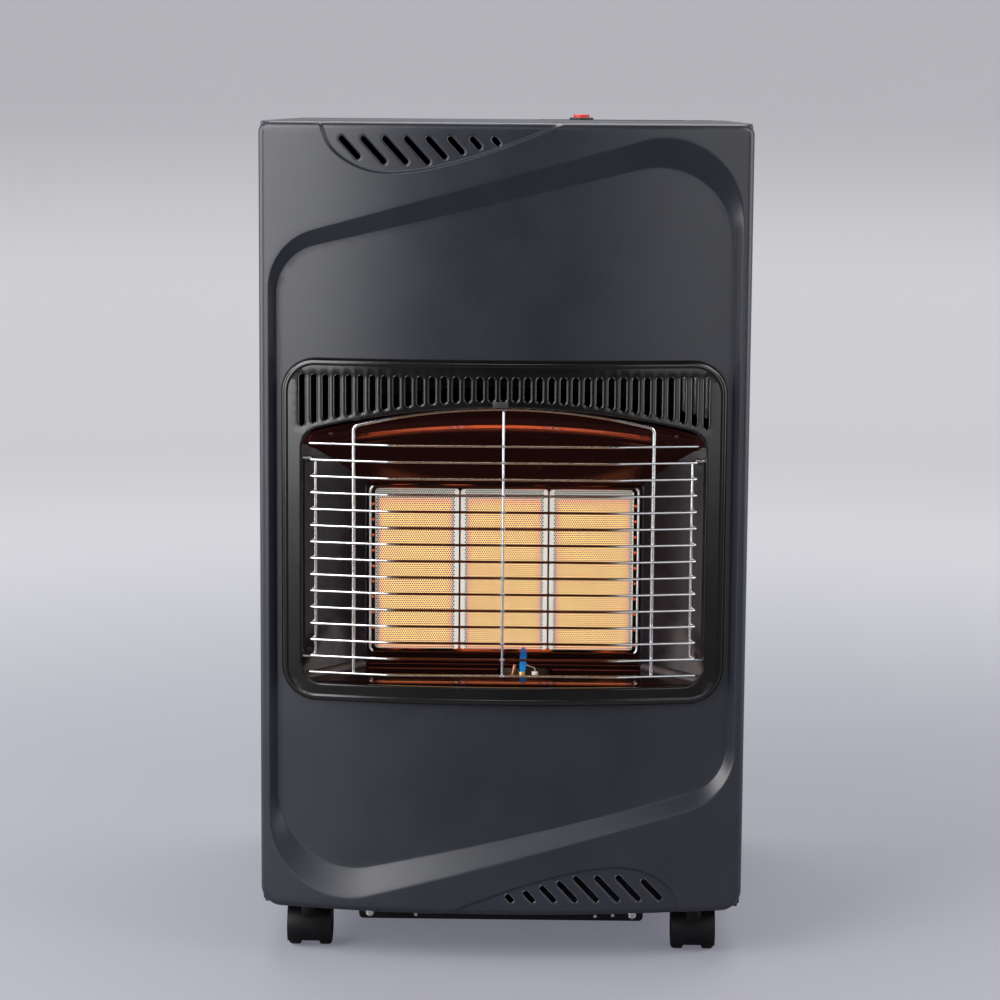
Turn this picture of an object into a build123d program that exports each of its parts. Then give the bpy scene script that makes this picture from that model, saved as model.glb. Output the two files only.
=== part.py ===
"""Portable gas cabinet heater with three radiant plaques, on four castors.

Millimetres. +X is the heater's left to right seen from the front, the front faces -Y, +Z is up.
The origin is on the floor, under the middle of the cabinet.
"""

import os
from math import atan, degrees, pi, sqrt

from build123d import *

os.makedirs("parts", exist_ok=True)

# Cabinet
WIDTH = 420.0
DEPTH = 460.0
PANEL_BOTTOM = 46.0
PANEL_TOP = 728.0
SHEET = 0.7
GAP = 0.5

# Front panel: bulged forward in plan, with a recessed field inside a proud border
BULGE = 28.0
PANEL_FLANGE = 14.0
PANEL_EDGE_RADIUS = 6.0
TOP_CORNER_RADIUS = 10.0
BOTTOM_CORNER_RADIUS = 17.0
FIELD_DEPTH = 8.0
FIELD_SLOPE = 0.237
FIELD_HALF_WIDTH = 195.0
FIELD_HALF_HEIGHT = 274.5
FIELD_RADII = (43.0, 66.0)
BORDER_SLOPE = 0.279
BORDER_HALF_WIDTH = 202.0
BORDER_HALF_HEIGHT = 295.5
BORDER_RADII = (53.0, 68.0)

# Slanted vents in two leaf shaped dimples
LEAF_DEPTH = 1.5
VENT_WIDTH = 5.6
VENT_PITCH = 18.4
VENT_FIRST_X = -138.0
VENT_TOP_Z = 713.6
VENT_DROPS = (15.0, 19.0, 19.0, 19.0, 14.5, 10.5, 6.0, 3.0)
VENT_LEAN = 0.92

# Burner surround: pressed frame on the recessed field
SURROUND_WIDTH = 382.0
SURROUND_LOW = 231.0
SURROUND_HIGH = 528.3
SURROUND_RADIUS = 30.0
SURROUND_SHEET = 1.2
SURROUND_NEAR = 1.2
LIP_BACK = 6.0
WINDOW_HALF_WIDTH = 173.0
WINDOW_LOW = 247.0
WINDOW_SIDE_HIGH = 464.2
WINDOW_HIGH = 488.2
WINDOW_RADII = (18.0, 14.0)
GRILLE_COUNT = 35
GRILLE_PITCH = 10.13
GRILLE_SLOT = 5.8
GRILLE_HIGH = 514.5
GRILLE_ABOVE_WINDOW = 5.0
PANEL_WINDOW = (364.0, 291.0, 16.0)

# Burner and firebox
PLAQUE_WIDTH = 76.9
PLAQUE_HEIGHT = 147.0
PLAQUE_THICKNESS = 13.0
PLAQUE_PITCH = 78.0
PLAQUE_Z = 336.5
PLAQUE_FACE_Y = -147.8
FRAME_OPENING_HALF = 113.4
FRAME_OPENING_Z = (266.0, 408.6)
BURNER_BOX_DEPTH = 28.0
FIREBOX_BACK_Y = -147.0
FIREBOX_HALF_BACK = 119.5
FIREBOX_HALF_FRONT = 176.0
FIREBOX_FRONT_Y = -201.0
FIREBOX_LOW = (251.0, 246.3)
FIREBOX_HIGH = (412.2, 508.0)
ARCH_DROP_AT_SIDE = 41.0
REFLECTOR_SHEET = 0.8
VENTURI_Y = -120.0
VENTURI_RADIUS = 10.0
VENTURI_LOW = 196.0
SHELF_Z = 177.0
SHELF_SHEET = 1.2
INJECTOR_LOW = 163.0
JET_THREAD = 4.0
JET_BORE = 0.5

# Wire guard
GUARD_COUNT = 15
GUARD_LOW = 256.4
GUARD_HIGH = 455.0
GUARD_FRONT_Y = -223.0
GUARD_END = (166.0, -210.0)
GUARD_BEND_X = 97.0
WIRE_RADIUS = 1.15
UPRIGHT_RADIUS = 1.5
SIDE_UPRIGHT = (162.0, -199.0)
SIDE_UPRIGHT_Z = (268.0, 441.0)
ARCH_LEG_X = 128.0
ARCH_Y = -214.4
ARCH_Z = (255.0, 470.5, 486.0)
CENTRE_UPRIGHT_Y = -220.4

# Pilot light, under a cut-out in the lower reflector
PILOT_Y = -165.0
PILOT_X = 16.5
THERMOCOUPLE_X = 6.0
ELECTRODE_X = 28.0
PILOT_CUTOUT = (-5.5, 44.0, -176.0, -153.0)
PILOT_PLATE_Z = 232.0
PILOT_UPSTAND_Z = 249.6
PILOT_TIP_Z = 249.4
INSULATOR_LOW = 227.0

# Controls at the rear of the top
VALVE_X = 138.0
CONTROLS_Y = 158.0
CONSOLE_X = 110.0
CONSOLE_SIZE = (169.0, 79.0)
CONSOLE_CORNER = 9.0
VALVE_LOW = 652.0
VALVE_HIGH = 686.0
VALVE_HALF = (24.0, 17.0)
VALVE_BORE_LOW = 671.0
UNION_LENGTH = 9.0
UNION_ACROSS = 9.0
OUTLET_Z = 668.0
MAGNET_END_X = 174.0
HOSE_TAIL_RADIUS = 4.5
HOSE_TAIL_LENGTH = 22.0
HOSE_HEXAGON = 8.0
OUTLET_XS = (121.5, 132.5, 143.5, 154.5)
NECK_HIGH = 702.0
WELL_RADIUS = 31.0
WELL_FLOOR = 698.0
SPINDLE_RADIUS = 3.0
PLUNGER_RADIUS = 5.0
RUNNING = 0.05
KNOB_LOW = 706.5
KNOB_HIGH = 724.5
KNOB_RADIUS = 22.0
KNOB_PUSH = 4.0
KNOB_SKIRT = 7.0
KNOB_CAP = 5.0
KNOB_GRIP = 15.0
BUTTON_X = 67.0
BUTTON_RADIUS = 7.7
BUTTON_HIGH = 733.2
BUTTON_TRAVEL = 6.0
BUTTON_LENGTH = 17.0
PIEZO_LOW = 692.0
SPARK_DROP = 8.0

# Pipes and leads inside: the x of each one's drop in front of the partition
FEED_RADIUS = 3.0
FEED_LANES = (158.0, 168.0, 178.0)
FEED_LEVELS = (153.0, 143.0, 133.0)
PILOT_LANE = 193.0
PILOT_LEVEL = 213.0
SPARK_LANE = 186.0
SPARK_LEVEL = 219.5
SPARK_RUN_Z = 686.0
SENSOR_LANE = 200.0
SENSOR_LEVEL = 206.0
LEAD_DROP_Y = -130.0
PIPE_BEND = 12.0

# Rear and base
PARTITION_Y = -99.5
PARTITION_HIGH = 655.0
REAR_FLANGE_Y = 206.0
COVER_SHEET = 0.8
COVER_Z = (49.0, 722.0)
COVER_VENT_ZS = (130.0, 600.0)
TAB_ZS = (180.0, 600.0)
TAB_X = 196.6
TRAY_LIP = 12.0
TRAY_WALL = 24.0
TRAY_SHEET = 1.0
STAND_RADIUS = 155.0
STAND_Y = 61.0
STAND_RISE = 1.2
BAR_HALF = 125.0
BAR_LOW = 31.0
BAR_SHEET = 1.6
BAR_HOLES = ((-75, 34.5), (83, 34.5), (98.5, 35.5))

# Twin wheel castors
CASTOR_X = 169.6
CASTOR_YS = {"front": -174.0, "rear": 176.0}
CASTOR_TRAIL = 14.0
WHEEL_RADIUS = 20.0
WHEEL_SPAN = (8.2, 19.4)
STEM_RADIUS = 5.0
AXLE_RADIUS = 3.0
SOCKET_Z = (44.0, 66.0)

NOSE_Y = -DEPTH / 2
EDGE_Y = NOSE_Y + BULGE
HALF = WIDTH / 2
PANEL_MID = (PANEL_BOTTOM + PANEL_TOP) / 2
PANEL_BACK_Y = EDGE_Y + PANEL_FLANGE
FRONT_RADIUS = (HALF**2 + BULGE**2) / (2 * BULGE)
PLAQUE_XS = {"left": -PLAQUE_PITCH, "centre": 0.0, "right": PLAQUE_PITCH}


def save(piece, name):
    """Label a finished piece and write it to its own file."""
    piece.label = name
    export_step(piece, f"parts/{name}.step")


def front_y(x, behind=0.0):
    """Depth of the bulged front surface, or of one a distance behind it."""
    return NOSE_Y + FRONT_RADIUS - sqrt((FRONT_RADIUS - behind) ** 2 - x**2)


def front_plane(y):
    """Plane seen from the front, with x across and z up."""
    return Plane.XZ.offset(-y)


def block(x, y, z, mode=Mode.ADD):
    """Box from its low and high limits along each axis."""
    centre = tuple((low + high) / 2 for low, high in (x, y, z))
    with Locations(centre):
        Box(x[1] - x[0], y[1] - y[0], z[1] - z[0], mode=mode)


def rod(start, end, radius, mode=Mode.ADD):
    """Cylinder between two points."""
    axis = Vector(*end) - Vector(*start)
    with BuildSketch(Plane(origin=start, z_dir=axis)) as section:
        Circle(radius)
    extrude(section.sketch, amount=axis.length, mode=mode)


def front_slab(near, far, half_width=HALF + 10, low=0.0, high=PANEL_TOP + 10):
    """Slab between two surfaces that follow the bulge of the front."""
    with BuildPart() as slab:
        with BuildSketch(Plane.XY.offset(low)):
            with BuildLine():
                ends = (-half_width, 0.0, half_width)
                near_points = [(x, front_y(x, near)) for x in ends]
                far_points = [(x, front_y(x, far)) for x in reversed(ends)]
                ThreePointArc(*near_points)
                Line(near_points[-1], far_points[0])
                ThreePointArc(*far_points)
                Line(far_points[-1], near_points[0])
            make_face()
        extrude(amount=high - low)
    return slab.part


def on_front(outline, near, far):
    """The part of a front view outline's prism that lies between two surfaces behind the front."""
    with BuildPart() as piece:
        extrude(outline, amount=DEPTH / 2)
        add(front_slab(near, far), mode=Mode.INTERSECT)
    return piece.part


def turned(piece):
    """The piece turned half a turn about the middle of the front panel."""
    centre_line = Axis((0, 0, PANEL_MID), (0, 1, 0))
    return piece.rotate(centre_line, 180)


# Front panel


def field_outline(half_width, half_height, slope, radii, y):
    """Slanted four sided outline, with two small and two large rounded corners."""
    with BuildSketch(front_plane(y)) as outline:
        with BuildLine():
            rise = slope * half_width
            Polyline(
                (-half_width, PANEL_MID + half_height - rise),
                (half_width, PANEL_MID + half_height + rise),
                (half_width, PANEL_MID - half_height + rise),
                (-half_width, PANEL_MID - half_height - rise),
                close=True,
            )
        make_face()
        corners = outline.vertices()
        fillet([v for v in corners if v.X * (v.Y - PANEL_MID) < 0], radii[0])
        fillet([v for v in corners if v.X * (v.Y - PANEL_MID) > 0], radii[1])
    return outline.sketch.face().outer_wire()


def laid_on_front(wire, behind):
    """A front view outline laid onto the bulged front."""
    steps = 6
    with BuildLine() as laid:
        for edge in wire.edges():
            points = [edge @ (i / steps) for i in range(steps + 1)]
            Spline(*[Vector(p.X, front_y(p.X, behind), p.Z) for p in points])
    return laid.wires()[0]


def field_pocket():
    """What the press pushes back: from the border outline down to the field outline."""
    border = field_outline(BORDER_HALF_WIDTH, BORDER_HALF_HEIGHT, BORDER_SLOPE, BORDER_RADII, NOSE_Y - 20)
    field = field_outline(FIELD_HALF_WIDTH, FIELD_HALF_HEIGHT, FIELD_SLOPE, FIELD_RADII, EDGE_Y + 30)
    sections = [border, laid_on_front(border, 0), laid_on_front(field, FIELD_DEPTH), field]
    with BuildPart() as pocket:
        add(Solid.make_loft(sections, ruled=True))
        add(front_slab(-40, FIELD_DEPTH), mode=Mode.INTERSECT)
    return pocket.part


def leaf():
    """Shallow dimple around the upper vents, open to the top edge."""
    with BuildSketch(front_plane(PANEL_BACK_Y)) as outline:
        with BuildLine():
            left_side = [(-161, 736), (-147.7, 704.6), (-117.9, 686.5), (-80, 685.2)]
            right_side = [(-25.4, 697.8), (41.2, 722.7), (66, 736)]
            curve = Spline(*left_side, *right_side)
            Line(curve @ 1, curve @ 0)
        make_face()
    return on_front(outline.sketch, -20, LEAF_DEPTH)


def vents():
    """Slanted slots of the upper dimple, as cutters."""
    with BuildPart() as cutters:
        with BuildSketch(front_plane(PANEL_BACK_Y)):
            for number, drop in enumerate(VENT_DROPS):
                top = Vector(VENT_FIRST_X + number * VENT_PITCH, VENT_TOP_Z)
                low = top + Vector(VENT_LEAN * drop, -drop)
                centre = (top + low) / 2
                with Locations(Location((centre.X, centre.Y), -degrees(atan(1 / VENT_LEAN)))):
                    SlotCenterToCenter((low - top).length, VENT_WIDTH)
        extrude(amount=DEPTH / 2)
    return cutters.part


def panel_block(inset):
    """Solid behind the panel's skin, smaller by the inset on the front and the sides."""
    half = HALF - inset
    with BuildPart() as solid:
        with BuildSketch(front_plane(PANEL_BACK_Y + inset)) as outline:
            with Locations((0, PANEL_MID)):
                Rectangle(2 * half, PANEL_TOP - PANEL_BOTTOM - 2 * inset)
            fillet(outline.vertices().group_by(Axis.Y)[-1], TOP_CORNER_RADIUS - inset)
            fillet(outline.vertices().group_by(Axis.Y)[0], BOTTOM_CORNER_RADIUS - inset)
        extrude(amount=DEPTH / 2)
        add(front_slab(inset, BULGE + 60), mode=Mode.INTERSECT)
        front_face = solid.faces().filter_by(GeomType.CYLINDER).sort_by(Axis.Y)[0]
        fillet(front_face.edges(), PANEL_EDGE_RADIUS - inset)
    return solid.part


def make_front_panel():
    dents = [field_pocket(), leaf(), turned(leaf())]
    with BuildPart() as core:
        add(panel_block(SHEET))
        for dent in dents:
            add(dent.moved(Location((0, SHEET, 0))), mode=Mode.SUBTRACT)
    with BuildPart() as panel:
        add(panel_block(0))
        for dent in dents:
            add(dent, mode=Mode.SUBTRACT)
        add(core.part, mode=Mode.SUBTRACT)
        add(vents(), mode=Mode.SUBTRACT)
        add(turned(vents()), mode=Mode.SUBTRACT)
        with BuildSketch(front_plane(PANEL_BACK_Y)):
            with Locations((0, (SURROUND_LOW + SURROUND_HIGH) / 2)):
                RectangleRounded(*PANEL_WINDOW)
        extrude(amount=DEPTH / 2, mode=Mode.SUBTRACT)
    save(panel.part, "front_panel")


# Burner surround


def window_outline(grow):
    """The firebox window: straight sides and foot, and an arched head."""
    with BuildSketch(front_plane(PANEL_BACK_Y)) as outline:
        with BuildLine():
            half = WINDOW_HALF_WIDTH + grow
            foot = WINDOW_LOW - grow
            shoulder = WINDOW_SIDE_HIGH + grow
            Polyline((-half, shoulder), (-half, foot), (half, foot), (half, shoulder))
            ThreePointArc((half, shoulder), (0, WINDOW_HIGH + grow), (-half, shoulder))
        make_face()
        fillet(outline.vertices().group_by(Axis.Y)[0], WINDOW_RADII[0] + grow)
        fillet(outline.vertices().group_by(Axis.Y)[-1], WINDOW_RADII[1] + grow)
    return outline.sketch


def window_head_z(x):
    """Height of the window's arch at x."""
    rise = WINDOW_HIGH - WINDOW_SIDE_HIGH
    radius = (WINDOW_HALF_WIDTH**2 + rise**2) / (2 * rise)
    return WINDOW_HIGH - radius + sqrt(radius**2 - x**2)


def surround_outline(inset):
    with BuildSketch(front_plane(PANEL_BACK_Y)) as outline:
        with Locations((0, (SURROUND_LOW + SURROUND_HIGH) / 2)):
            height = SURROUND_HIGH - SURROUND_LOW - 2 * inset
            RectangleRounded(SURROUND_WIDTH - 2 * inset, height, SURROUND_RADIUS - inset)
    return outline.sketch


def grille_slots():
    """Upright slots over the window, their feet following its arch."""
    with BuildSketch(front_plane(PANEL_BACK_Y)) as slots:
        for number in range(GRILLE_COUNT):
            x = (number - (GRILLE_COUNT - 1) / 2) * GRILLE_PITCH
            foot = window_head_z(min(abs(x), WINDOW_HALF_WIDTH)) + GRILLE_ABOVE_WINDOW
            with Locations(Location((x, (foot + GRILLE_HIGH) / 2), 90)):
                SlotOverall(GRILLE_HIGH - foot, GRILLE_SLOT)
    return slots.sketch


def make_burner_surround():
    inner_near = SURROUND_NEAR + SURROUND_SHEET
    with BuildPart() as surround:
        add(on_front(surround_outline(0), SURROUND_NEAR, FIELD_DEPTH))
        add(on_front(surround_outline(SURROUND_SHEET), inner_near, FIELD_DEPTH + 5), mode=Mode.SUBTRACT)
        add(on_front(window_outline(SURROUND_SHEET), SURROUND_NEAR, LIP_BACK))
        extrude(window_outline(0), amount=DEPTH / 2, mode=Mode.SUBTRACT)
        extrude(grille_slots(), amount=DEPTH / 2, mode=Mode.SUBTRACT)
    save(surround.part, "burner_surround")


# Firebox reflectors


def firebox_plan(grow):
    """Plan of the firebox: narrow at the plaques, wide behind the window."""
    with BuildSketch(Plane.XY.offset(SURROUND_LOW - 20)) as plan:
        with BuildLine():
            half_back = FIREBOX_HALF_BACK + grow
            half_front = FIREBOX_HALF_FRONT + grow
            front = front_y(half_front, LIP_BACK + GAP)
            Polyline(
                (-half_front, front),
                (-half_front, FIREBOX_FRONT_Y),
                (-half_back, FIREBOX_BACK_Y),
                (half_back, FIREBOX_BACK_Y),
                (half_front, FIREBOX_FRONT_Y),
                (half_front, front),
            )
            ThreePointArc((half_front, front), (0, front_y(0, LIP_BACK + GAP)), (-half_front, front))
        make_face()
    return plan.sketch


def firebox_section(index, y, drop, grow):
    """Upright section of the firebox, flat below and arched above by the drop."""
    half = HALF
    low = FIREBOX_LOW[index] - grow
    high = FIREBOX_HIGH[index] + grow
    with BuildSketch(front_plane(y)) as section:
        with BuildLine():
            Polyline((-half, high - drop), (-half, low), (half, low), (half, high - drop))
            ThreePointArc((half, high - drop), (0, high), (-half, high - drop))
        make_face()
    return section.sketch.face().outer_wire()


def firebox(grow):
    """Space inside the reflectors, grown by a sheet's thickness for their outside."""
    back = firebox_section(0, FIREBOX_BACK_Y, 0.5, grow)
    front = firebox_section(1, NOSE_Y, ARCH_DROP_AT_SIDE, grow)
    with BuildPart() as space:
        extrude(firebox_plan(grow), amount=SURROUND_HIGH - SURROUND_LOW + 40)
        add(Solid.make_loft([back, front], ruled=True), mode=Mode.INTERSECT)
    return space.part


def make_reflectors():
    inside = firebox(0)
    outside = firebox(REFLECTOR_SHEET)
    plan = extrude(firebox_plan(0), amount=400)
    half_space = {
        "upper": ((-HALF, HALF), (PLAQUE_Z, PANEL_TOP)),
        "lower": ((-HALF, HALF), (PANEL_BOTTOM, PLAQUE_Z)),
        "left": ((-HALF, 0), (PANEL_BOTTOM, PANEL_TOP)),
        "right": ((0, HALF), (PANEL_BOTTOM, PANEL_TOP)),
    }
    for side, (across, height) in half_space.items():
        with BuildPart() as reflector:
            block(across, (NOSE_Y, 0), height)
            add(outside, mode=Mode.INTERSECT)
            add(inside, mode=Mode.SUBTRACT)
            if side in ("upper", "lower"):
                add(plan, mode=Mode.INTERSECT)
            else:
                add(plan, mode=Mode.SUBTRACT)
            if side == "lower":
                low_x, high_x, low_y, high_y = PILOT_CUTOUT
                block((low_x, high_x), (low_y, high_y), (230, 280), mode=Mode.SUBTRACT)
                riser = (FIREBOX_LOW[0] - REFLECTOR_SHEET, PLAQUE_Z - PLAQUE_HEIGHT / 2 - 2)
                riser_y = (FIREBOX_BACK_Y - REFLECTOR_SHEET, FIREBOX_BACK_Y)
                block((-FIREBOX_HALF_BACK, FIREBOX_HALF_BACK), riser_y, riser)
            if side in ("left", "right"):
                sign = -1 if side == "left" else 1
                for z in SIDE_UPRIGHT_Z:
                    start = (sign * 150, SIDE_UPRIGHT[1], z)
                    rod(start, (sign * 200, SIDE_UPRIGHT[1], z), UPRIGHT_RADIUS + 0.7, mode=Mode.SUBTRACT)
        save(reflector.part, f"reflector_{side}")


# Burners


def make_burner_frame():
    """Pressed rim around the three plaques."""
    width = 3 * PLAQUE_PITCH + 3.6
    height = PLAQUE_HEIGHT + 2.6
    low, high = FRAME_OPENING_Z
    depth = 18
    front = FIREBOX_BACK_Y - 2
    with BuildPart() as frame:
        with BuildSketch(front_plane(front + depth)):
            with Locations((0, PLAQUE_Z)):
                RectangleRounded(width, height, 5)
                RectangleRounded(width - 2 * SHEET, height - 2 * SHEET, 1, mode=Mode.SUBTRACT)
        extrude(amount=depth)
        with BuildSketch(front_plane(front + SHEET)):
            with Locations((0, PLAQUE_Z)):
                RectangleRounded(width, height, 5)
            with Locations((0, (low + high) / 2)):
                RectangleRounded(2 * FRAME_OPENING_HALF, high - low, 3, mode=Mode.SUBTRACT)
        extrude(amount=SHEET)
    save(frame.part, "burner_frame")


def make_plaque(side):
    """Ceramic tile. Its face stands just behind the frame's lip."""
    x = PLAQUE_XS[side]
    front = PLAQUE_FACE_Y
    with BuildPart() as plaque:
        half = PLAQUE_WIDTH / 2
        tall = PLAQUE_HEIGHT / 2
        block((x - half, x + half), (front, front + PLAQUE_THICKNESS), (PLAQUE_Z - tall, PLAQUE_Z + tall))
        chamfer(plaque.faces().sort_by(Axis.Y)[0].edges(), 0.4)
    save(plaque.part, f"plaque_{side}")


def make_burner_box(side):
    """Pan behind a plaque, with its mixing tube and bell mouth below."""
    x = PLAQUE_XS[side]
    front = PLAQUE_FACE_Y + PLAQUE_THICKNESS + 0.2
    back = front + BURNER_BOX_DEPTH
    low = PLAQUE_Z - PLAQUE_HEIGHT / 2
    high = PLAQUE_Z + PLAQUE_HEIGHT / 2
    half = PLAQUE_WIDTH / 2
    bore = VENTURI_RADIUS - SHEET
    with BuildPart() as box:
        block((x - half, x + half), (front, back), (low, high))
        fillet(box.edges().filter_by(Axis.Y), 4)
        rod((x, VENTURI_Y, VENTURI_LOW), (x, VENTURI_Y, low + 2), VENTURI_RADIUS)
        with Locations((x, VENTURI_Y, VENTURI_LOW + 4)):
            Cone(VENTURI_RADIUS + 3.5, VENTURI_RADIUS, 8)
        block((x - half + 1, x + half - 1), (front - 1, back - 1), (low + 1, high - 1), mode=Mode.SUBTRACT)
        rod((x, VENTURI_Y, VENTURI_LOW - 1), (x, VENTURI_Y, low + 2), bore, mode=Mode.SUBTRACT)
        with Locations((x, VENTURI_Y, VENTURI_LOW + 3.9)):
            Cone(VENTURI_RADIUS + 2.5, bore, 8, mode=Mode.SUBTRACT)
    save(box.part, f"burner_box_{side}")


def make_burner_bracket():
    """Back plate with wings to the side panels and a shelf for the injectors."""
    plate_front = PLAQUE_FACE_Y + PLAQUE_THICKNESS + BURNER_BOX_DEPTH + 0.6
    plate_y = (plate_front, plate_front + SHEET)
    with BuildPart() as bracket:
        half = 1.5 * PLAQUE_PITCH + 13
        wing = HALF - 3
        block((-half, half), plate_y, (SHELF_Z, PLAQUE_Z + 103))
        block((-wing, wing), plate_y, (PLAQUE_Z - 36, PLAQUE_Z + 14))
        block((-half, half), (VENTURI_Y - 12, plate_y[1]), (SHELF_Z, SHELF_Z + SHELF_SHEET))
        for x in PLAQUE_XS.values():
            rod((x, VENTURI_Y, SHELF_Z - 1), (x, VENTURI_Y, SHELF_Z + 3), JET_THREAD, mode=Mode.SUBTRACT)
    save(bracket.part, "burner_bracket")


def make_injectors():
    """Three brass jets, one under each bell mouth."""
    seat = SHELF_Z + SHELF_SHEET
    tip = seat + 10.8
    with BuildPart() as jets:
        for x in PLAQUE_XS.values():
            with BuildSketch(Plane.XY.offset(INJECTOR_LOW)):
                with Locations((x, VENTURI_Y)):
                    RegularPolygon(6.5, 6)
            extrude(amount=SHELF_Z - INJECTOR_LOW)
            rod((x, VENTURI_Y, SHELF_Z), (x, VENTURI_Y, seat), JET_THREAD)
            rod((x, VENTURI_Y, seat), (x, VENTURI_Y, seat + 4), 6.0)
            rod((x, VENTURI_Y, seat + 4), (x, VENTURI_Y, tip), 3.0)
            rod((x, VENTURI_Y, seat + 3), (x, VENTURI_Y, tip + 1), JET_BORE, mode=Mode.SUBTRACT)
    save(jets.part, "injectors")


# Wire guard


def make_guard_wires():
    """Fifteen bent wires across the window. All but the first and last hook back to the uprights."""
    hook = (SIDE_UPRIGHT[0] + 0.5, SIDE_UPRIGHT[1] - UPRIGHT_RADIUS - 0.75)
    end_x, end_y = GUARD_END
    with BuildPart() as wires:
        for number in range(GUARD_COUNT):
            z = GUARD_LOW + number * (GUARD_HIGH - GUARD_LOW) / (GUARD_COUNT - 1)
            right = [(GUARD_BEND_X, GUARD_FRONT_Y), (end_x, end_y)]
            radii = [30.0]
            if 0 < number < GUARD_COUNT - 1:
                right.append(hook)
                radii.append(2.5)
            left = [(-x, y) for x, y in reversed(right)]
            with BuildLine(Plane.XY.offset(z)) as path:
                FilletPolyline(*left, *right, radius=list(reversed(radii)) + radii)
            with BuildSketch(Plane(origin=path.line @ 0, z_dir=path.line % 0)):
                Circle(WIRE_RADIUS)
            sweep(path=path.line)
    save(wires.part, "guard_wires")


def make_guard_uprights():
    """Two side uprights, their ends turned out into the reflectors, and the one in the middle."""
    x, y = SIDE_UPRIGHT
    low, high = SIDE_UPRIGHT_Z
    with BuildPart() as uprights:
        for sign in (-1, 1):
            tip = sign * (x + 13)
            with BuildLine() as path:
                corners = [(tip, y, low), (sign * x, y, low), (sign * x, y, high), (tip, y, high)]
                FilletPolyline(*corners, radius=4)
            with BuildSketch(Plane(origin=path.line @ 0, z_dir=path.line % 0)):
                Circle(UPRIGHT_RADIUS)
            sweep(path=path.line)
        with BuildLine() as middle:
            top = ARCH_Z[2]
            corners = [(0, CENTRE_UPRIGHT_Y, GUARD_LOW - 1.5), (0, CENTRE_UPRIGHT_Y, top)]
            FilletPolyline(*corners, (0, ARCH_Y - UPRIGHT_RADIUS - 0.05, top), radius=3)
        with BuildSketch(Plane(origin=middle.line @ 0, z_dir=middle.line % 0)):
            Circle(WIRE_RADIUS)
        sweep(path=middle.line)
    save(uprights.part, "guard_uprights")


def make_guard_arch():
    """One wire: up, over the arch and down."""
    foot, shoulder, crown = ARCH_Z
    with BuildPart() as arch:
        with BuildLine(front_plane(ARCH_Y)) as path:
            Line((-ARCH_LEG_X, foot), (-ARCH_LEG_X, shoulder))
            ThreePointArc((-ARCH_LEG_X, shoulder), (0, crown), (ARCH_LEG_X, shoulder))
            Line((ARCH_LEG_X, shoulder), (ARCH_LEG_X, foot))
            bends = path.vertices().group_by(Axis.Y)[-1]
            fillet(bends, 5)
        with BuildSketch(Plane(origin=path.line @ 0, z_dir=path.line % 0)):
            Circle(UPRIGHT_RADIUS)
        sweep(path=path.line)
    save(arch.part, "guard_arch")


# Pilot light


def make_pilot_bracket():
    plate = (PILOT_PLATE_Z, PILOT_PLATE_Z + 1.2)
    with BuildPart() as bracket:
        span = (-4, 42)
        rear = PILOT_CUTOUT[3] + 2.5
        block(span, (PILOT_Y - 10, rear), plate)
        block(span, (rear - 1.2, rear), (PILOT_PLATE_Z, PILOT_UPSTAND_Z))
        for x, radius in ((PILOT_X, 3.1), (THERMOCOUPLE_X, 2.6), (ELECTRODE_X, 2.85)):
            rod((x, PILOT_Y, plate[0] - 1), (x, PILOT_Y, plate[1] + 1), radius, mode=Mode.SUBTRACT)
    save(bracket.part, "pilot_bracket")


def make_pilot_burner():
    """Tube with side air holes and a slotted tip."""
    low = PILOT_PLATE_Z - 8
    with BuildPart() as pilot:
        rod((PILOT_X, PILOT_Y, low), (PILOT_X, PILOT_Y, PILOT_TIP_Z), 3.05)
        with BuildSketch(Plane.XY.offset(low)):
            with Locations((PILOT_X, PILOT_Y)):
                RegularPolygon(4.4, 6)
        extrude(amount=6)
        rod((PILOT_X, PILOT_Y, low + 8), (PILOT_X, PILOT_Y, PILOT_TIP_Z + 1), 2.2, mode=Mode.SUBTRACT)
        slot_z = (PILOT_TIP_Z - 2.5, PILOT_TIP_Z + 1)
        block((PILOT_X - 4, PILOT_X + 4), (PILOT_Y - 0.8, PILOT_Y + 0.8), slot_z, mode=Mode.SUBTRACT)
    save(pilot.part, "pilot_burner")


def make_electrode():
    """Ceramic insulator, and the wire that stands out of it towards the pilot."""
    top = PILOT_TIP_Z
    with BuildPart() as insulator:
        rod((ELECTRODE_X, PILOT_Y, INSULATOR_LOW), (ELECTRODE_X, PILOT_Y, top), 2.8)
        fillet(insulator.edges().group_by(Axis.Z)[-1], 0.6)
    save(insulator.part, "electrode_insulator")
    with BuildPart() as electrode:
        with BuildLine() as path:
            root = (ELECTRODE_X, PILOT_Y, top + 0.02)
            FilletPolyline(root, (ELECTRODE_X, PILOT_Y, top + 3), (PILOT_X + 3, PILOT_Y, top + 6), radius=2)
        with BuildSketch(Plane(origin=path.line @ 0, z_dir=path.line % 0)):
            Circle(0.7)
        sweep(path=path.line)
    save(electrode.part, "spark_electrode")


# Gas valve, pipes and leads


def hexagon_nut(x, z, start_y, end_y, across):
    """Hexagonal union nut along Y."""
    with BuildSketch(front_plane(end_y)) as outline:
        with Locations((x, z)):
            RegularPolygon(across / 2, 6, major_radius=False)
    extrude(outline.sketch, amount=end_y - start_y)


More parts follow.
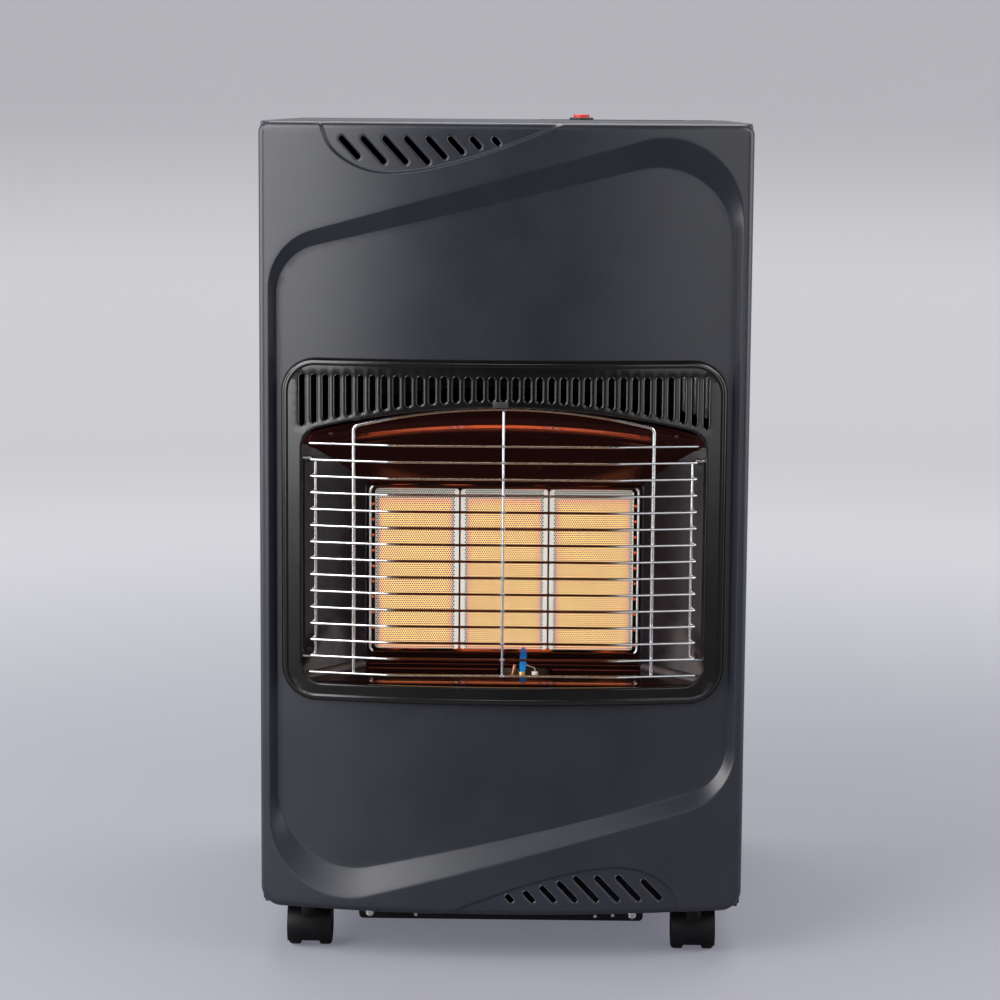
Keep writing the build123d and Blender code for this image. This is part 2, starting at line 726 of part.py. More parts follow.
def make_gas_valve():
    """Valve body under the console, with its outlets, magnet unit and spindle neck."""
    half_x, half_y = VALVE_HALF
    front = CONTROLS_Y - half_y
    axis = (VALVE_X, CONTROLS_Y)
    with BuildPart() as valve:
        block((VALVE_X - half_x, VALVE_X + half_x), (front, CONTROLS_Y + half_y), (VALVE_LOW, VALVE_HIGH))
        fillet(valve.edges().filter_by(Axis.Z), 4)
        rod((*axis, VALVE_HIGH), (*axis, NECK_HIGH), 7.0)
        for x in OUTLET_XS:
            hexagon_nut(x, OUTLET_Z, front - UNION_LENGTH, front, UNION_ACROSS)
        magnet = (VALVE_X + half_x, CONTROLS_Y, OUTLET_Z)
        rod(magnet, (MAGNET_END_X, CONTROLS_Y, OUTLET_Z), 6.5)
        bore = PLUNGER_RADIUS + RUNNING
        rod((*axis, VALVE_BORE_LOW), (*axis, NECK_HIGH + 1), bore, mode=Mode.SUBTRACT)
    save(valve.part, "gas_valve")


def make_hose_nozzle():
    """Inlet on the valve's side: a hexagon, a collar and a plain tail for the hose."""
    face = VALVE_X - VALVE_HALF[0]
    with BuildPart() as nozzle:
        root = face - HOSE_HEXAGON
        tip = root - HOSE_TAIL_LENGTH
        with BuildSketch(Plane.YZ.offset(root)):
            with Locations((CONTROLS_Y, OUTLET_Z)):
                RegularPolygon(8.5, 6)
        extrude(amount=HOSE_HEXAGON)
        rod((tip, CONTROLS_Y, OUTLET_Z), (root, CONTROLS_Y, OUTLET_Z), HOSE_TAIL_RADIUS)
        rod((tip - 1, CONTROLS_Y, OUTLET_Z), (face, CONTROLS_Y, OUTLET_Z), 2.5, mode=Mode.SUBTRACT)
    save(nozzle.part, "hose_nozzle")


def pipe(corners, radius, bend):
    """Round pipe or lead through the corners, with equal bends."""
    with BuildPart() as tube:
        with BuildLine() as path:
            FilletPolyline(*corners, radius=bend)
        with BuildSketch(Plane(origin=path.line @ 0, z_dir=path.line % 0)):
            Circle(radius)
        sweep(path=path.line)
    length = path.wires()[0].length
    ratio = tube.part.volume / (pi * radius**2 * length)
    print(f"pipe length {length:.0f} mm, volume over section times length {ratio:.4f}")
    return tube.part


def make_feed_pipes():
    """One aluminium pipe from the valve to each injector, over the partition and down its front."""
    start_y = CONTROLS_Y - VALVE_HALF[1] - UNION_LENGTH
    routes = zip(("right", "centre", "left"), OUTLET_XS, FEED_LANES, FEED_LEVELS)
    for side, outlet, lane, level in routes:
        corners = [
            (outlet, start_y, OUTLET_Z),
            (outlet, start_y - 25, OUTLET_Z),
            (lane, 40, OUTLET_Z),
            (lane, VENTURI_Y, OUTLET_Z),
            (lane, VENTURI_Y, level),
            (PLAQUE_XS[side], VENTURI_Y, level),
            (PLAQUE_XS[side], VENTURI_Y, INJECTOR_LOW),
        ]
        bend = min(PIPE_BEND, INJECTOR_LOW - level - 1)
        save(pipe(corners, FEED_RADIUS, bend), f"feed_pipe_{side}")


def make_small_lines():
    """Pilot pipe, thermocouple with its lead, and the lead from the spark button."""
    start_y = CONTROLS_Y - VALVE_HALF[1] - UNION_LENGTH
    pilot_foot = PILOT_PLATE_Z - 8
    pilot = [
        (OUTLET_XS[3], start_y, OUTLET_Z),
        (OUTLET_XS[3], start_y - 20, OUTLET_Z),
        (PILOT_LANE, 60, OUTLET_Z),
        (PILOT_LANE, LEAD_DROP_Y, OUTLET_Z),
        (PILOT_LANE, LEAD_DROP_Y, PILOT_LEVEL),
        (PILOT_LANE, PILOT_Y, PILOT_LEVEL),
        (PILOT_X, PILOT_Y, PILOT_LEVEL),
        (PILOT_X, PILOT_Y, pilot_foot),
    ]
    save(pipe(pilot, 2.0, 10), "pilot_pipe")

    spark = [
        (BUTTON_X, CONTROLS_Y, PIEZO_LOW),
        (BUTTON_X, CONTROLS_Y, PIEZO_LOW - SPARK_DROP),
        (BUTTON_X, 118, PIEZO_LOW - SPARK_DROP),
        (BUTTON_X + 10, 100, SPARK_RUN_Z),
        (SPARK_LANE, 20, SPARK_RUN_Z),
        (SPARK_LANE, LEAD_DROP_Y, SPARK_RUN_Z),
        (SPARK_LANE, LEAD_DROP_Y, SPARK_LEVEL),
        (SPARK_LANE, PILOT_Y, SPARK_LEVEL),
        (ELECTRODE_X, PILOT_Y, SPARK_LEVEL),
        (ELECTRODE_X, PILOT_Y, INSULATOR_LOW),
    ]
    save(pipe(spark, 1.5, 6.5), "ignition_lead")

    lead = [
        (MAGNET_END_X, CONTROLS_Y, OUTLET_Z),
        (SENSOR_LANE, CONTROLS_Y, OUTLET_Z),
        (SENSOR_LANE, LEAD_DROP_Y, OUTLET_Z),
        (SENSOR_LANE, LEAD_DROP_Y, SENSOR_LEVEL),
        (SENSOR_LANE, PILOT_Y, SENSOR_LEVEL),
        (THERMOCOUPLE_X, PILOT_Y, SENSOR_LEVEL),
        (THERMOCOUPLE_X, PILOT_Y, pilot_foot),
    ]
    collar_top = PILOT_PLATE_Z + 5
    with BuildPart() as thermocouple:
        add(pipe(lead, 1.25, 10))
        rod((THERMOCOUPLE_X, PILOT_Y, pilot_foot), (THERMOCOUPLE_X, PILOT_Y, collar_top), 2.5)
        rod((THERMOCOUPLE_X, PILOT_Y, collar_top - 0.8), (PILOT_X - 6, PILOT_Y, PILOT_TIP_Z + 6), 1.5)
    save(thermocouple.part, "thermocouple")


# Controls


def make_console():
    """Moulded plate let into the top, with a well for the knob and a hole for the spark button."""
    axis = (VALVE_X, CONTROLS_Y)
    with BuildPart() as console:
        with BuildSketch(Plane.XY.offset(PANEL_TOP - 2.2)):
            with Locations((CONSOLE_X, CONTROLS_Y)):
                RectangleRounded(*CONSOLE_SIZE, CONSOLE_CORNER)
        extrude(amount=2.4)
        with BuildSketch(Plane.XY.offset(PANEL_TOP - 4.2)):
            with Locations((CONSOLE_X, CONTROLS_Y)):
                RectangleRounded(CONSOLE_SIZE[0] + 6, CONSOLE_SIZE[1] + 6, CONSOLE_CORNER)
        extrude(amount=3.0)
        rod((*axis, WELL_FLOOR), (*axis, PANEL_TOP - 2), WELL_RADIUS + 2)
        rod((*axis, WELL_FLOOR + 2), (*axis, PANEL_TOP + 1), WELL_RADIUS, mode=Mode.SUBTRACT)
        rod((*axis, WELL_FLOOR - 1), (*axis, WELL_FLOOR + 3), 7.1, mode=Mode.SUBTRACT)
        button = (BUTTON_X, CONTROLS_Y)
        rod((*button, PANEL_TOP - 5), (*button, PANEL_TOP + 1), 9.1, mode=Mode.SUBTRACT)
        rims = console.edges().filter_by(GeomType.CIRCLE)
        mouth = rims.filter_by(lambda rim: abs(rim.radius - WELL_RADIUS) < 0.1)
        fillet(mouth.group_by(Axis.Z)[-1], 1.0)
    save(console.part, "control_console")


def make_valve_plunger():
    """Collar that slides down in the valve's neck when the knob is pushed."""
    axis = (VALVE_X, CONTROLS_Y)
    low = VALVE_BORE_LOW + 2 * KNOB_PUSH
    with BuildPart() as plunger:
        rod((*axis, low), (*axis, NECK_HIGH - 4), PLUNGER_RADIUS)
        rod((*axis, low + 3), (*axis, NECK_HIGH), SPINDLE_RADIUS + RUNNING, mode=Mode.SUBTRACT)
    save(plunger.part, "valve_plunger")


def make_valve_spindle():
    axis = (VALVE_X, CONTROLS_Y)
    low = VALVE_BORE_LOW + 2 * KNOB_PUSH + 3.3
    with BuildPart() as spindle:
        rod((*axis, low), (*axis, KNOB_HIGH - KNOB_CAP), SPINDLE_RADIUS)
        chamfer(spindle.edges().group_by(Axis.Z)[-1], 0.4)
    save(spindle.part, "valve_spindle")


def make_control_knob():
    """Round skirt with a raised grip bar across it, pressed onto the spindle."""
    axis = (VALVE_X, CONTROLS_Y)
    with BuildPart() as knob:
        rod((*axis, KNOB_LOW), (*axis, KNOB_LOW + KNOB_SKIRT), KNOB_RADIUS)
        grip_low = KNOB_LOW + KNOB_SKIRT - 1
        with BuildSketch(Plane.XY.offset(grip_low)):
            with Locations(axis):
                SlotOverall(2 * KNOB_RADIUS - 4, KNOB_GRIP)
        extrude(amount=KNOB_HIGH - grip_low)
        fillet(knob.faces().sort_by(Axis.Z)[-1].edges(), 2.0)
        rod((*axis, KNOB_LOW - 1), (*axis, KNOB_HIGH - KNOB_CAP), SPINDLE_RADIUS, mode=Mode.SUBTRACT)
    save(knob.part, "control_knob")


def make_piezo():
    """Spark unit with its flange on the console, and the button that slides in it."""
    axis = (BUTTON_X, CONTROLS_Y)
    flange_low = PANEL_TOP + 0.2
    button_low = BUTTON_HIGH - BUTTON_LENGTH
    floor = button_low - BUTTON_TRAVEL - 0.5
    with BuildPart() as body:
        rod((*axis, PIEZO_LOW), (*axis, flange_low + 1), 9.0)
        rod((*axis, flange_low), (*axis, flange_low + 2), 11.5)
        fillet(body.faces().sort_by(Axis.Z)[-1].edges(), 0.8)
        rod((*axis, floor), (*axis, flange_low + 3), BUTTON_RADIUS + RUNNING + 0.03, mode=Mode.SUBTRACT)
    save(body.part, "piezo_igniter")
    with BuildPart() as button:
        rod((*axis, button_low), (*axis, BUTTON_HIGH), BUTTON_RADIUS)
        fillet(button.faces().sort_by(Axis.Z)[-1].edges(), 1.2)
    save(button.part, "piezo_button")


# Cabinet


def make_side_panel(side):
    """Flat side with a strip that laps inside the front panel and a slotted flange at the rear."""
    sign = -1 if side == "left" else 1
    low, high = PANEL_BOTTOM + 1.6, PANEL_TOP - 1.5

    def across(inner, outer):
        return tuple(sorted((sign * inner, sign * outer)))

    with BuildPart() as panel:
        outer = HALF - SHEET
        block(across(outer - SHEET, outer), (PANEL_BACK_Y + GAP, REAR_FLANGE_Y), (low, high))
        strip = (EDGE_Y + 9, PANEL_BACK_Y + 14)
        block(across(outer - 2 * SHEET, outer - SHEET), strip, (low + 30, high - 30))
        block(across(outer - 19, outer), (REAR_FLANGE_Y - SHEET, REAR_FLANGE_Y), (low, high))
        for z in TAB_ZS:
            slot = across(TAB_X - 0.8, TAB_X + COVER_SHEET + 0.8)
            block(slot, (REAR_FLANGE_Y - 2, REAR_FLANGE_Y + 1), (z - 11, z + 11), mode=Mode.SUBTRACT)
    save(panel.part, f"{side}_side_panel")


def make_top_panel():
    """Top with turned down edges and an opening for the console."""
    under = PANEL_TOP - SHEET
    half = HALF - SHEET
    with BuildPart() as panel:
        block((-half, half), (PANEL_BACK_Y + GAP, REAR_FLANGE_Y), (under, PANEL_TOP))
        for sign in (-1, 1):
            edge = tuple(sorted((sign * (half - 2.2), sign * (half - 1.2))))
            block(edge, (PANEL_BACK_Y + 20, REAR_FLANGE_Y - 4), (under - 13, under))
        block((-half + 22, half - 22), (REAR_FLANGE_Y - SHEET, REAR_FLANGE_Y), (under - 26, under))
        with BuildSketch(Plane.XY.offset(PANEL_TOP - 3)):
            with Locations((CONSOLE_X, CONTROLS_Y)):
                RectangleRounded(CONSOLE_SIZE[0] + 0.6, CONSOLE_SIZE[1] + 0.6, CONSOLE_CORNER + 0.3)
        extrude(amount=4, mode=Mode.SUBTRACT)
    save(panel.part, "top_panel")


def make_base_tray():
    """Floor of the cabinet: upturned edges, a raised stand, and a tube for each castor's stem."""
    floor = (PANEL_BOTTOM, PANEL_BOTTOM + TRAY_SHEET)
    wall_z = (PANEL_BOTTOM, PANEL_BOTTOM + TRAY_WALL)
    front = PANEL_BACK_Y + GAP
    half = HALF - 2.6
    rear = DEPTH / 2 - 5.8
    rear_half = HALF - 6.5
    with BuildPart() as tray:
        block((-half, half), (front, REAR_FLANGE_Y - 2), floor)
        block((-rear_half, rear_half), (REAR_FLANGE_Y - 3, rear), floor)
        block((-half, half), (front, front + SHEET), wall_z)
        block((-rear_half, rear_half), (rear - SHEET, rear), (floor[0], floor[0] + TRAY_LIP))
        under = (0, STAND_Y, floor[0] + STAND_RISE)
        stand_top = (0, STAND_Y, floor[1] + STAND_RISE)
        rod((0, STAND_Y, floor[0]), stand_top, STAND_RADIUS)
        rod((0, STAND_Y, floor[0] - 1), under, STAND_RADIUS - TRAY_SHEET, mode=Mode.SUBTRACT)
        for sign in (-1, 1):
            wall = tuple(sorted((sign * half, sign * (half - SHEET))))
            block(wall, (front, REAR_FLANGE_Y - 2), wall_z)
            for y in CASTOR_YS.values():
                centre = (sign * CASTOR_X, y)
                foot, top = SOCKET_Z
                rod((*centre, foot), (*centre, top), 8.0)
                bore = STEM_RADIUS + RUNNING
                rod((*centre, foot - 1), (*centre, top + 1), bore, mode=Mode.SUBTRACT)
    save(tray.part, "base_tray")


def make_front_cross_bar():
    """Angle under the front edge of the tray."""
    span = (-BAR_HALF, BAR_HALF)
    face_y = PANEL_BACK_Y + 2
    with BuildPart() as bar:
        block(span, (face_y, face_y + BAR_SHEET), (BAR_LOW, PANEL_BOTTOM))
        fillet(bar.edges().filter_by(Axis.Y).group_by(Axis.Z)[0], 4)
        block(span, (face_y, face_y + 24), (PANEL_BOTTOM - BAR_SHEET, PANEL_BOTTOM))
        with BuildSketch(front_plane(face_y + 3)):
            with Locations(*BAR_HOLES):
                Circle(1.6)
        extrude(amount=6, mode=Mode.SUBTRACT)
    save(bar.part, "front_cross_bar")


def make_heat_partition():
    """Upright plate between the burners and the gas cylinder."""
    half = HALF - 3.8
    floor = PANEL_BOTTOM + 1.3
    face = (PARTITION_Y, PARTITION_Y + SHEET)
    with BuildPart() as partition:
        block((-half, half), face, (floor, PARTITION_HIGH))
        block((-half, half), (PARTITION_Y - 14, face[1]), (floor, floor + SHEET))
        block((-half, half), (PARTITION_Y - 8, face[1]), (PARTITION_HIGH - SHEET, PARTITION_HIGH))
        for sign in (-1, 1):
            side = tuple(sorted((sign * half, sign * (half - SHEET))))
            block(side, (PARTITION_Y - 4, face[1]), (floor + 24, PARTITION_HIGH))
    save(partition.part, "heat_partition")


def make_rear_cover():
    """Lift-away back: a shallow pan with vent slots, and four tabs that enter the side flanges."""
    half = HALF - 4
    front = REAR_FLANGE_Y + 0.6
    back = DEPTH / 2
    low, high = COVER_Z
    with BuildPart() as cover:
        block((-half, half), (front, back), (low, high))
        fillet(cover.edges().filter_by(Axis.Z).group_by(Axis.Y)[-1], 10)
        fillet(cover.faces().sort_by(Axis.Z)[-1].edges().sort_by(Axis.Y)[-1], 5)
        openings = [cover.faces().sort_by(Axis.Y)[0], cover.faces().sort_by(Axis.Z)[0]]
        offset(amount=-COVER_SHEET, openings=openings)
        with BuildSketch(front_plane(back + 5)):
            for z in COVER_VENT_ZS:
                with Locations((0, z)):
                    with GridLocations(90, 16, 3, 5):
                        SlotOverall(70, 6)
        extrude(amount=20, mode=Mode.SUBTRACT)
        for sign in (-1, 1):
            for z in TAB_ZS:
                arm = tuple(sorted((sign * TAB_X, sign * (half - 0.5))))
                tab = tuple(sorted((sign * TAB_X, sign * (TAB_X + COVER_SHEET))))
                block(arm, (front, front + COVER_SHEET), (z - 10, z + 10))
                block(tab, (front - 12, front + COVER_SHEET), (z - 10, z + 10))
    save(cover.part, "rear_cover")


def make_case_screws():
    """Pan head screws: on the cross bar, under the tray and on the rear flange of the top."""
    bar_y = PANEL_BACK_Y + 2
    with BuildPart() as screws:
        for x in (-BAR_HALF + 9.5, BAR_HALF - 9.5):
            z = BAR_LOW + 5.2
            rod((x, bar_y - 0.8, z), (x, bar_y - 0.02, z), 4.5)
            rod((x, bar_y - 2.2, z), (x, bar_y - 0.8, z), 3.2)
        for x in (-150, -50, 50, 150):
            z = PANEL_TOP - 18
            rod((x, REAR_FLANGE_Y + 0.02, z), (x, REAR_FLANGE_Y + 2, z), 3.6)
        for x in (-100, 100):
            for y in (-120, 140):
                rod((x, y, PANEL_BOTTOM - 2), (x, y, PANEL_BOTTOM - 0.02), 4.0)
    save(screws.part, "case_screws")


# Castors


def make_castor_hood(name, x, y):
    """Body between the wheels, fender over them and boss under the stem."""
    axle_y = y + CASTOR_TRAIL
    inner = WHEEL_RADIUS + 0.8
    outer = WHEEL_RADIUS + 2.3
    span = WHEEL_SPAN[1]
    web = WHEEL_SPAN[0] - 0.4
    with BuildPart() as hood:
        rod((x - span, axle_y, WHEEL_RADIUS), (x + span, axle_y, WHEEL_RADIUS), outer)
        for side in ((x - span - 1, x - web), (x + web, x + span + 1)):
            rod((side[0], axle_y, WHEEL_RADIUS), (side[1], axle_y, WHEEL_RADIUS), inner, mode=Mode.SUBTRACT)
        block((x - 30, x + 30), (axle_y - 30, axle_y + 30), (-5, 7.6), mode=Mode.SUBTRACT)
        block((x - 30, x + 30), (axle_y + 6, axle_y + 30), (0, 27), mode=Mode.SUBTRACT)
        rod((x, y, 30), (x, y, 43.4), 7.5)
        start = (x - web - 1, axle_y, WHEEL_RADIUS)
        rod(start, (x + web + 1, axle_y, WHEEL_RADIUS), AXLE_RADIUS, mode=Mode.SUBTRACT)
        rod((x, y, 36), (x, y, 45), STEM_RADIUS - 1, mode=Mode.SUBTRACT)
    save(hood.part, f"{name}_hood")


def make_castor_pins(name, x, y):
    """Stem, a step thinner inside the hood, and the wheels' axle."""
    axle_y = y + CASTOR_TRAIL
    tip = WHEEL_SPAN[1] - 1
    with BuildPart() as pins:
        rod((x, y, 36), (x, y, 43.4), STEM_RADIUS - 1)
        rod((x, y, 43.4), (x, y, SOCKET_Z[1] - 1), STEM_RADIUS)
        rod((x - tip, axle_y, WHEEL_RADIUS), (x + tip, axle_y, WHEEL_RADIUS), AXLE_RADIUS)
    save(pins.part, f"{name}_pins")


def make_castor_wheel(name, x, y, sign):
    """Disc wheel with a rounded tread, open to the axle on the hood's side."""
    axle_y = y + CASTOR_TRAIL
    inner_x, outer_x = x + sign * WHEEL_SPAN[0], x + sign * WHEEL_SPAN[1]
    with BuildPart() as wheel:
        rod((inner_x, axle_y, WHEEL_RADIUS), (outer_x, axle_y, WHEEL_RADIUS), WHEEL_RADIUS)
        fillet(wheel.edges().filter_by(GeomType.CIRCLE).sort_by(Axis.X)[-1 if sign > 0 else 0], 3.5)
        bore_end = x + sign * (WHEEL_SPAN[1] - 0.7)
        start = (inner_x - sign, axle_y, WHEEL_RADIUS)
        rod(start, (bore_end, axle_y, WHEEL_RADIUS), AXLE_RADIUS + RUNNING, mode=Mode.SUBTRACT)
    save(wheel.part, f"{name}_wheel_{'right' if sign > 0 else 'left'}")


def make_castors():
    for end, y in CASTOR_YS.items():
        for side, sign in (("left", -1), ("right", 1)):
            name = f"castor_{end}_{side}"
            make_castor_hood(name, sign * CASTOR_X, y)
            make_castor_pins(name, sign * CASTOR_X, y)
            for wheel_sign in (-1, 1):
                make_castor_wheel(name, sign * CASTOR_X, y, wheel_sign)


make_front_panel()
make_burner_surround()
make_reflectors()
make_burner_frame()
for plaque_side in PLAQUE_XS:
    make_plaque(plaque_side)
    make_burner_box(plaque_side)
make_burner_bracket()
make_injectors()
make_guard_wires()
make_guard_uprights()
make_guard_arch()
make_pilot_bracket()
make_pilot_burner()
make_electrode()
make_gas_valve()
make_hose_nozzle()
make_feed_pipes()
make_small_lines()
make_console()
make_valve_plunger()
make_valve_spindle()
make_control_knob()
make_piezo()
make_side_panel("left")
make_side_panel("right")
make_top_panel()
make_base_tray()
make_front_cross_bar()
make_heat_partition()
make_rear_cover()
make_case_screws()
make_castors()
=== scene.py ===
import math

import bmesh
import bpy
import numpy as np
from mathutils import Matrix, Vector, geometry, kdtree


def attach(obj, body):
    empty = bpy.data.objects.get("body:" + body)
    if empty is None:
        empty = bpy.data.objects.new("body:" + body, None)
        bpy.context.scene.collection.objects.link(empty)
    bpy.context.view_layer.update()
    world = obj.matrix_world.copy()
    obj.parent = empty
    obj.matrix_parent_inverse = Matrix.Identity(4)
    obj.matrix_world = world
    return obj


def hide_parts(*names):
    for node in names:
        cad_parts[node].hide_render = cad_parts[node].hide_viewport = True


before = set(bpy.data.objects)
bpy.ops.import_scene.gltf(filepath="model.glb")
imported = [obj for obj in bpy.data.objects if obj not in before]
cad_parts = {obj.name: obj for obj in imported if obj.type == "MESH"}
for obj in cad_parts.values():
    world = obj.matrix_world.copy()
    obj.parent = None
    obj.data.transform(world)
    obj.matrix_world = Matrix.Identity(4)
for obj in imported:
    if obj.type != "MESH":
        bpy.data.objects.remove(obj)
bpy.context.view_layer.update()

mm = 0.001


def flat(points):
    return np.array(points, float).reshape(-1, 2)


def roundedOutline(corners, radii, spacing=3.0):
    corners = flat(corners)
    outline = []
    for index, corner in enumerate(corners):
        before = corners[index - 1] - corner
        after = corners[(index + 1) % len(corners)] - corner
        before, after = before / np.linalg.norm(before), after / np.linalg.norm(after)
        half = math.acos(float(before @ after)) / 2
        radius = radii[index]
        middle = (before + after) / np.linalg.norm(before + after)
        centre = corner + middle * radius / math.sin(half)
        spoke = corner + before * radius / math.tan(half) - centre
        side = math.copysign(1, before[0] * after[1] - before[1] * after[0])
        turn = -side * (math.pi - 2 * half)
        steps = max(4, math.ceil(radius * abs(turn) / spacing * 1.6))
        for step in range(steps + 1):
            c, s = math.cos(turn * step / steps), math.sin(turn * step / steps)
            outline.append(centre + (c * spoke[0] - s * spoke[1], s * spoke[0] + c * spoke[1]))
    return subdivided(flat(outline), spacing)


def subdivided(line, spacing, closed=True):
    points = []
    ends = np.roll(line, -1, 0) if closed else line[1:]
    for start, end in zip(line, ends):
        steps = max(1, round(float(np.linalg.norm(end - start)) / spacing))
        points += [start + (end - start) * k / steps for k in range(steps)]
    if not closed:
        points.append(line[-1])
    return flat(points)


def rectangle(low, high, radii, inset=0.0, spacing=3.0):
    x0, z0, x1, z1 = low[0] + inset, low[1] + inset, high[0] - inset, high[1] - inset
    corners = [(x0, z0), (x1, z0), (x1, z1), (x0, z1)]
    return roundedOutline(corners, [max(r - inset, 0.3) for r in radii], spacing)


def ringed(low, high, radii, insets, spacing=3.0):  # a rectangle and its rings further in
    return [rectangle(low, high, radii, inset, spacing) for inset in (0.0, *insets)]


def slotOutline(start, end, half, steps=7):
    start, end = np.array(start, float), np.array(end, float)
    along = (end - start) / np.linalg.norm(end - start)
    heading = math.atan2(along[1], along[0])
    points = []
    for centre, first in ((end, heading - math.pi / 2), (start, heading + math.pi / 2)):
        for step in range(steps + 1):
            angle = first + math.pi * step / steps
            points.append(centre + half * np.array((math.cos(angle), math.sin(angle))))
    return subdivided(flat(points), 1.6)


def insideDistance(points, outline):  # above zero inside the outline
    starts, ends = outline, np.roll(outline, -1, 0)
    run = ends - starts
    length = np.maximum((run**2).sum(1), 1e-12)
    result = np.empty(len(points))
    rise = np.where(run[:, 1] == 0, 1e-12, run[:, 1])
    for first in range(0, len(points), 3000):
        p = points[first:first + 3000, None]
        share = np.clip(((p - starts) * run).sum(2) / length, 0, 1)
        near = np.sqrt(((p - starts - share[..., None] * run) ** 2).sum(2)).min(1)
        spans = (starts[:, 1] > p[..., 1]) != (ends[:, 1] > p[..., 1])
        left = p[..., 0] < run[:, 0] * (p[..., 1] - starts[:, 1]) / rise + starts[:, 0]
        inside = (spans & left).sum(1) % 2 == 1
        result[first:first + 3000] = np.where(inside, near, -near)
    return result


def slotDistance(points, slots, half):  # how far outside the nearest slot's edge
    nearest = np.full(len(points), 1e6)
    for start, end in slots:
        a, run = np.array(start, float), np.array(end, float) - np.array(start, float)
        share = np.clip(((points - a) @ run) / (run @ run), 0, 1)
        nearest = np.minimum(nearest, np.linalg.norm(points - a - share[:, None] * run, axis=1))
    return nearest - half


def rolled(distance, radius):  # setback of an edge that is rolled over
    short = np.clip(radius - distance, 0, radius)
    return radius - np.sqrt(radius**2 - short**2)


def eased(t, first, last):  # near straight ramp with a soft start and end
    t = np.clip(t, 0, 1)
    height = 1 - first / 2 - last / 2
    start = t**2 / (2 * first)
    middle = t - first / 2
    end = height - (1 - t) ** 2 / (2 * last)
    return np.where(t < first, start, np.where(t > 1 - last, end, middle)) / height


def rollInsets(radius, steps=6):
    return [radius * (1 - math.cos(math.pi / 2 * k / steps)) for k in range(1, steps + 1)]


def smoothLine(points, spacing):  # curve through the points
    points = flat(points)
    padded = np.vstack([2 * points[0] - points[1], points, 2 * points[-1] - points[-2]])
    line = []
    for k in range(1, len(padded) - 2):
        a, b, c, d = padded[k - 1:k + 3]
        steps = max(2, round(float(np.linalg.norm(c - b)) / spacing))
        for t in np.arange(steps) / steps:
            line.append(0.5 * (2 * b + (c - a) * t + (2 * a - 5 * b + 4 * c - d) * t**2
                               + (3 * b - a - 3 * c + d) * t**3))
    line.append(points[-1])
    return flat(line)


def offsetLine(line, distance):  # to the right of its direction
    run = np.gradient(line, axis=0)
    run /= np.linalg.norm(run, axis=1)[:, None]
    return line + distance * np.stack([run[:, 1], -run[:, 0]], 1)


def linked(name, data):  # a new object in the scene
    made = bpy.data.objects.new(name, data)
    bpy.context.scene.collection.objects.link(made)
    return made


def pieceFrom(name, points, faces, finish, edges=()):
    mesh = bpy.data.meshes.new(name)
    mesh.from_pydata((np.array(points, float) * mm).tolist(), list(edges), faces)
    if finish:
        mesh.materials.append(finish)
    return linked(name, mesh)


def finalMesh(piece):
    graph = bpy.context.evaluated_depsgraph_get()
    graph.update()
    return bpy.data.meshes.new_from_object(piece.evaluated_get(graph))


def settled(piece, angle=38):  # modifiers become part of the mesh
    mesh, old = finalMesh(piece), piece.data
    piece.modifiers.clear()
    piece.data = mesh
    bpy.data.meshes.remove(old)
    mesh.name = piece.name
    return shaded(piece, angle)


def shaded(piece, angle=38):
    piece.data.shade_smooth()
    piece.data.set_sharp_from_angle(angle=math.radians(angle))
    return piece


def reworked(piece, change):  # its mesh taken through one change
    work = bmesh.new()
    work.from_mesh(piece.data)
    change(work)
    work.to_mesh(piece.data)
    work.free()
    return piece


def tidied(piece, merge=1e-6):  # doubles merged, faces turned outwards
    def change(work):
        bmesh.ops.remove_doubles(work, verts=work.verts, dist=merge)
        bmesh.ops.recalc_face_normals(work, faces=work.faces)

    return reworked(piece, change)


def outwards(piece, watcher):  # an open sheet's faces turned towards the watcher
    away = sum((Vector(watcher) - face.center).dot(face.normal) < 0 for face in piece.data.polygons)
    if away > len(piece.data.polygons) / 2:
        piece.data.flip_normals()
    return piece


def thickened(piece, thickness, angle=38):
    wall = piece.modifiers.new("wall", "SOLIDIFY")
    wall.thickness, wall.offset = thickness * mm, -1
    wall.use_even_offset, wall.thickness_clamp = True, 2
    return settled(piece, angle)


def joined(name, parts):  # several finished meshes as one piece
    work = bmesh.new()
    materials = []
    for part in parts:
        slots = []
        for material in part.data.materials:
            if material not in materials:
                materials.append(material)
            slots.append(materials.index(material))
        before = len(work.faces)
        work.from_mesh(part.data)
        work.faces.ensure_lookup_table()
        for face in work.faces[before:]:
            face.material_index = slots[face.material_index] if slots else 0
    mesh = bpy.data.meshes.new(name)
    work.to_mesh(mesh)
    work.free()
    for material in materials:
        mesh.materials.append(material)
    for part in parts:
        bpy.data.objects.remove(part)
    return linked(name, mesh)


def fitted(piece, node=None, body="cabinet"):  # rides its body, in place of a solid or beside it
    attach(piece, body)
    if node:
        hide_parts(node)
    return piece


def refinished(node, finish):  # a solid that stays, in its own material
    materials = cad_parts[node].data.materials
    materials.clear()
    materials.append(finish)


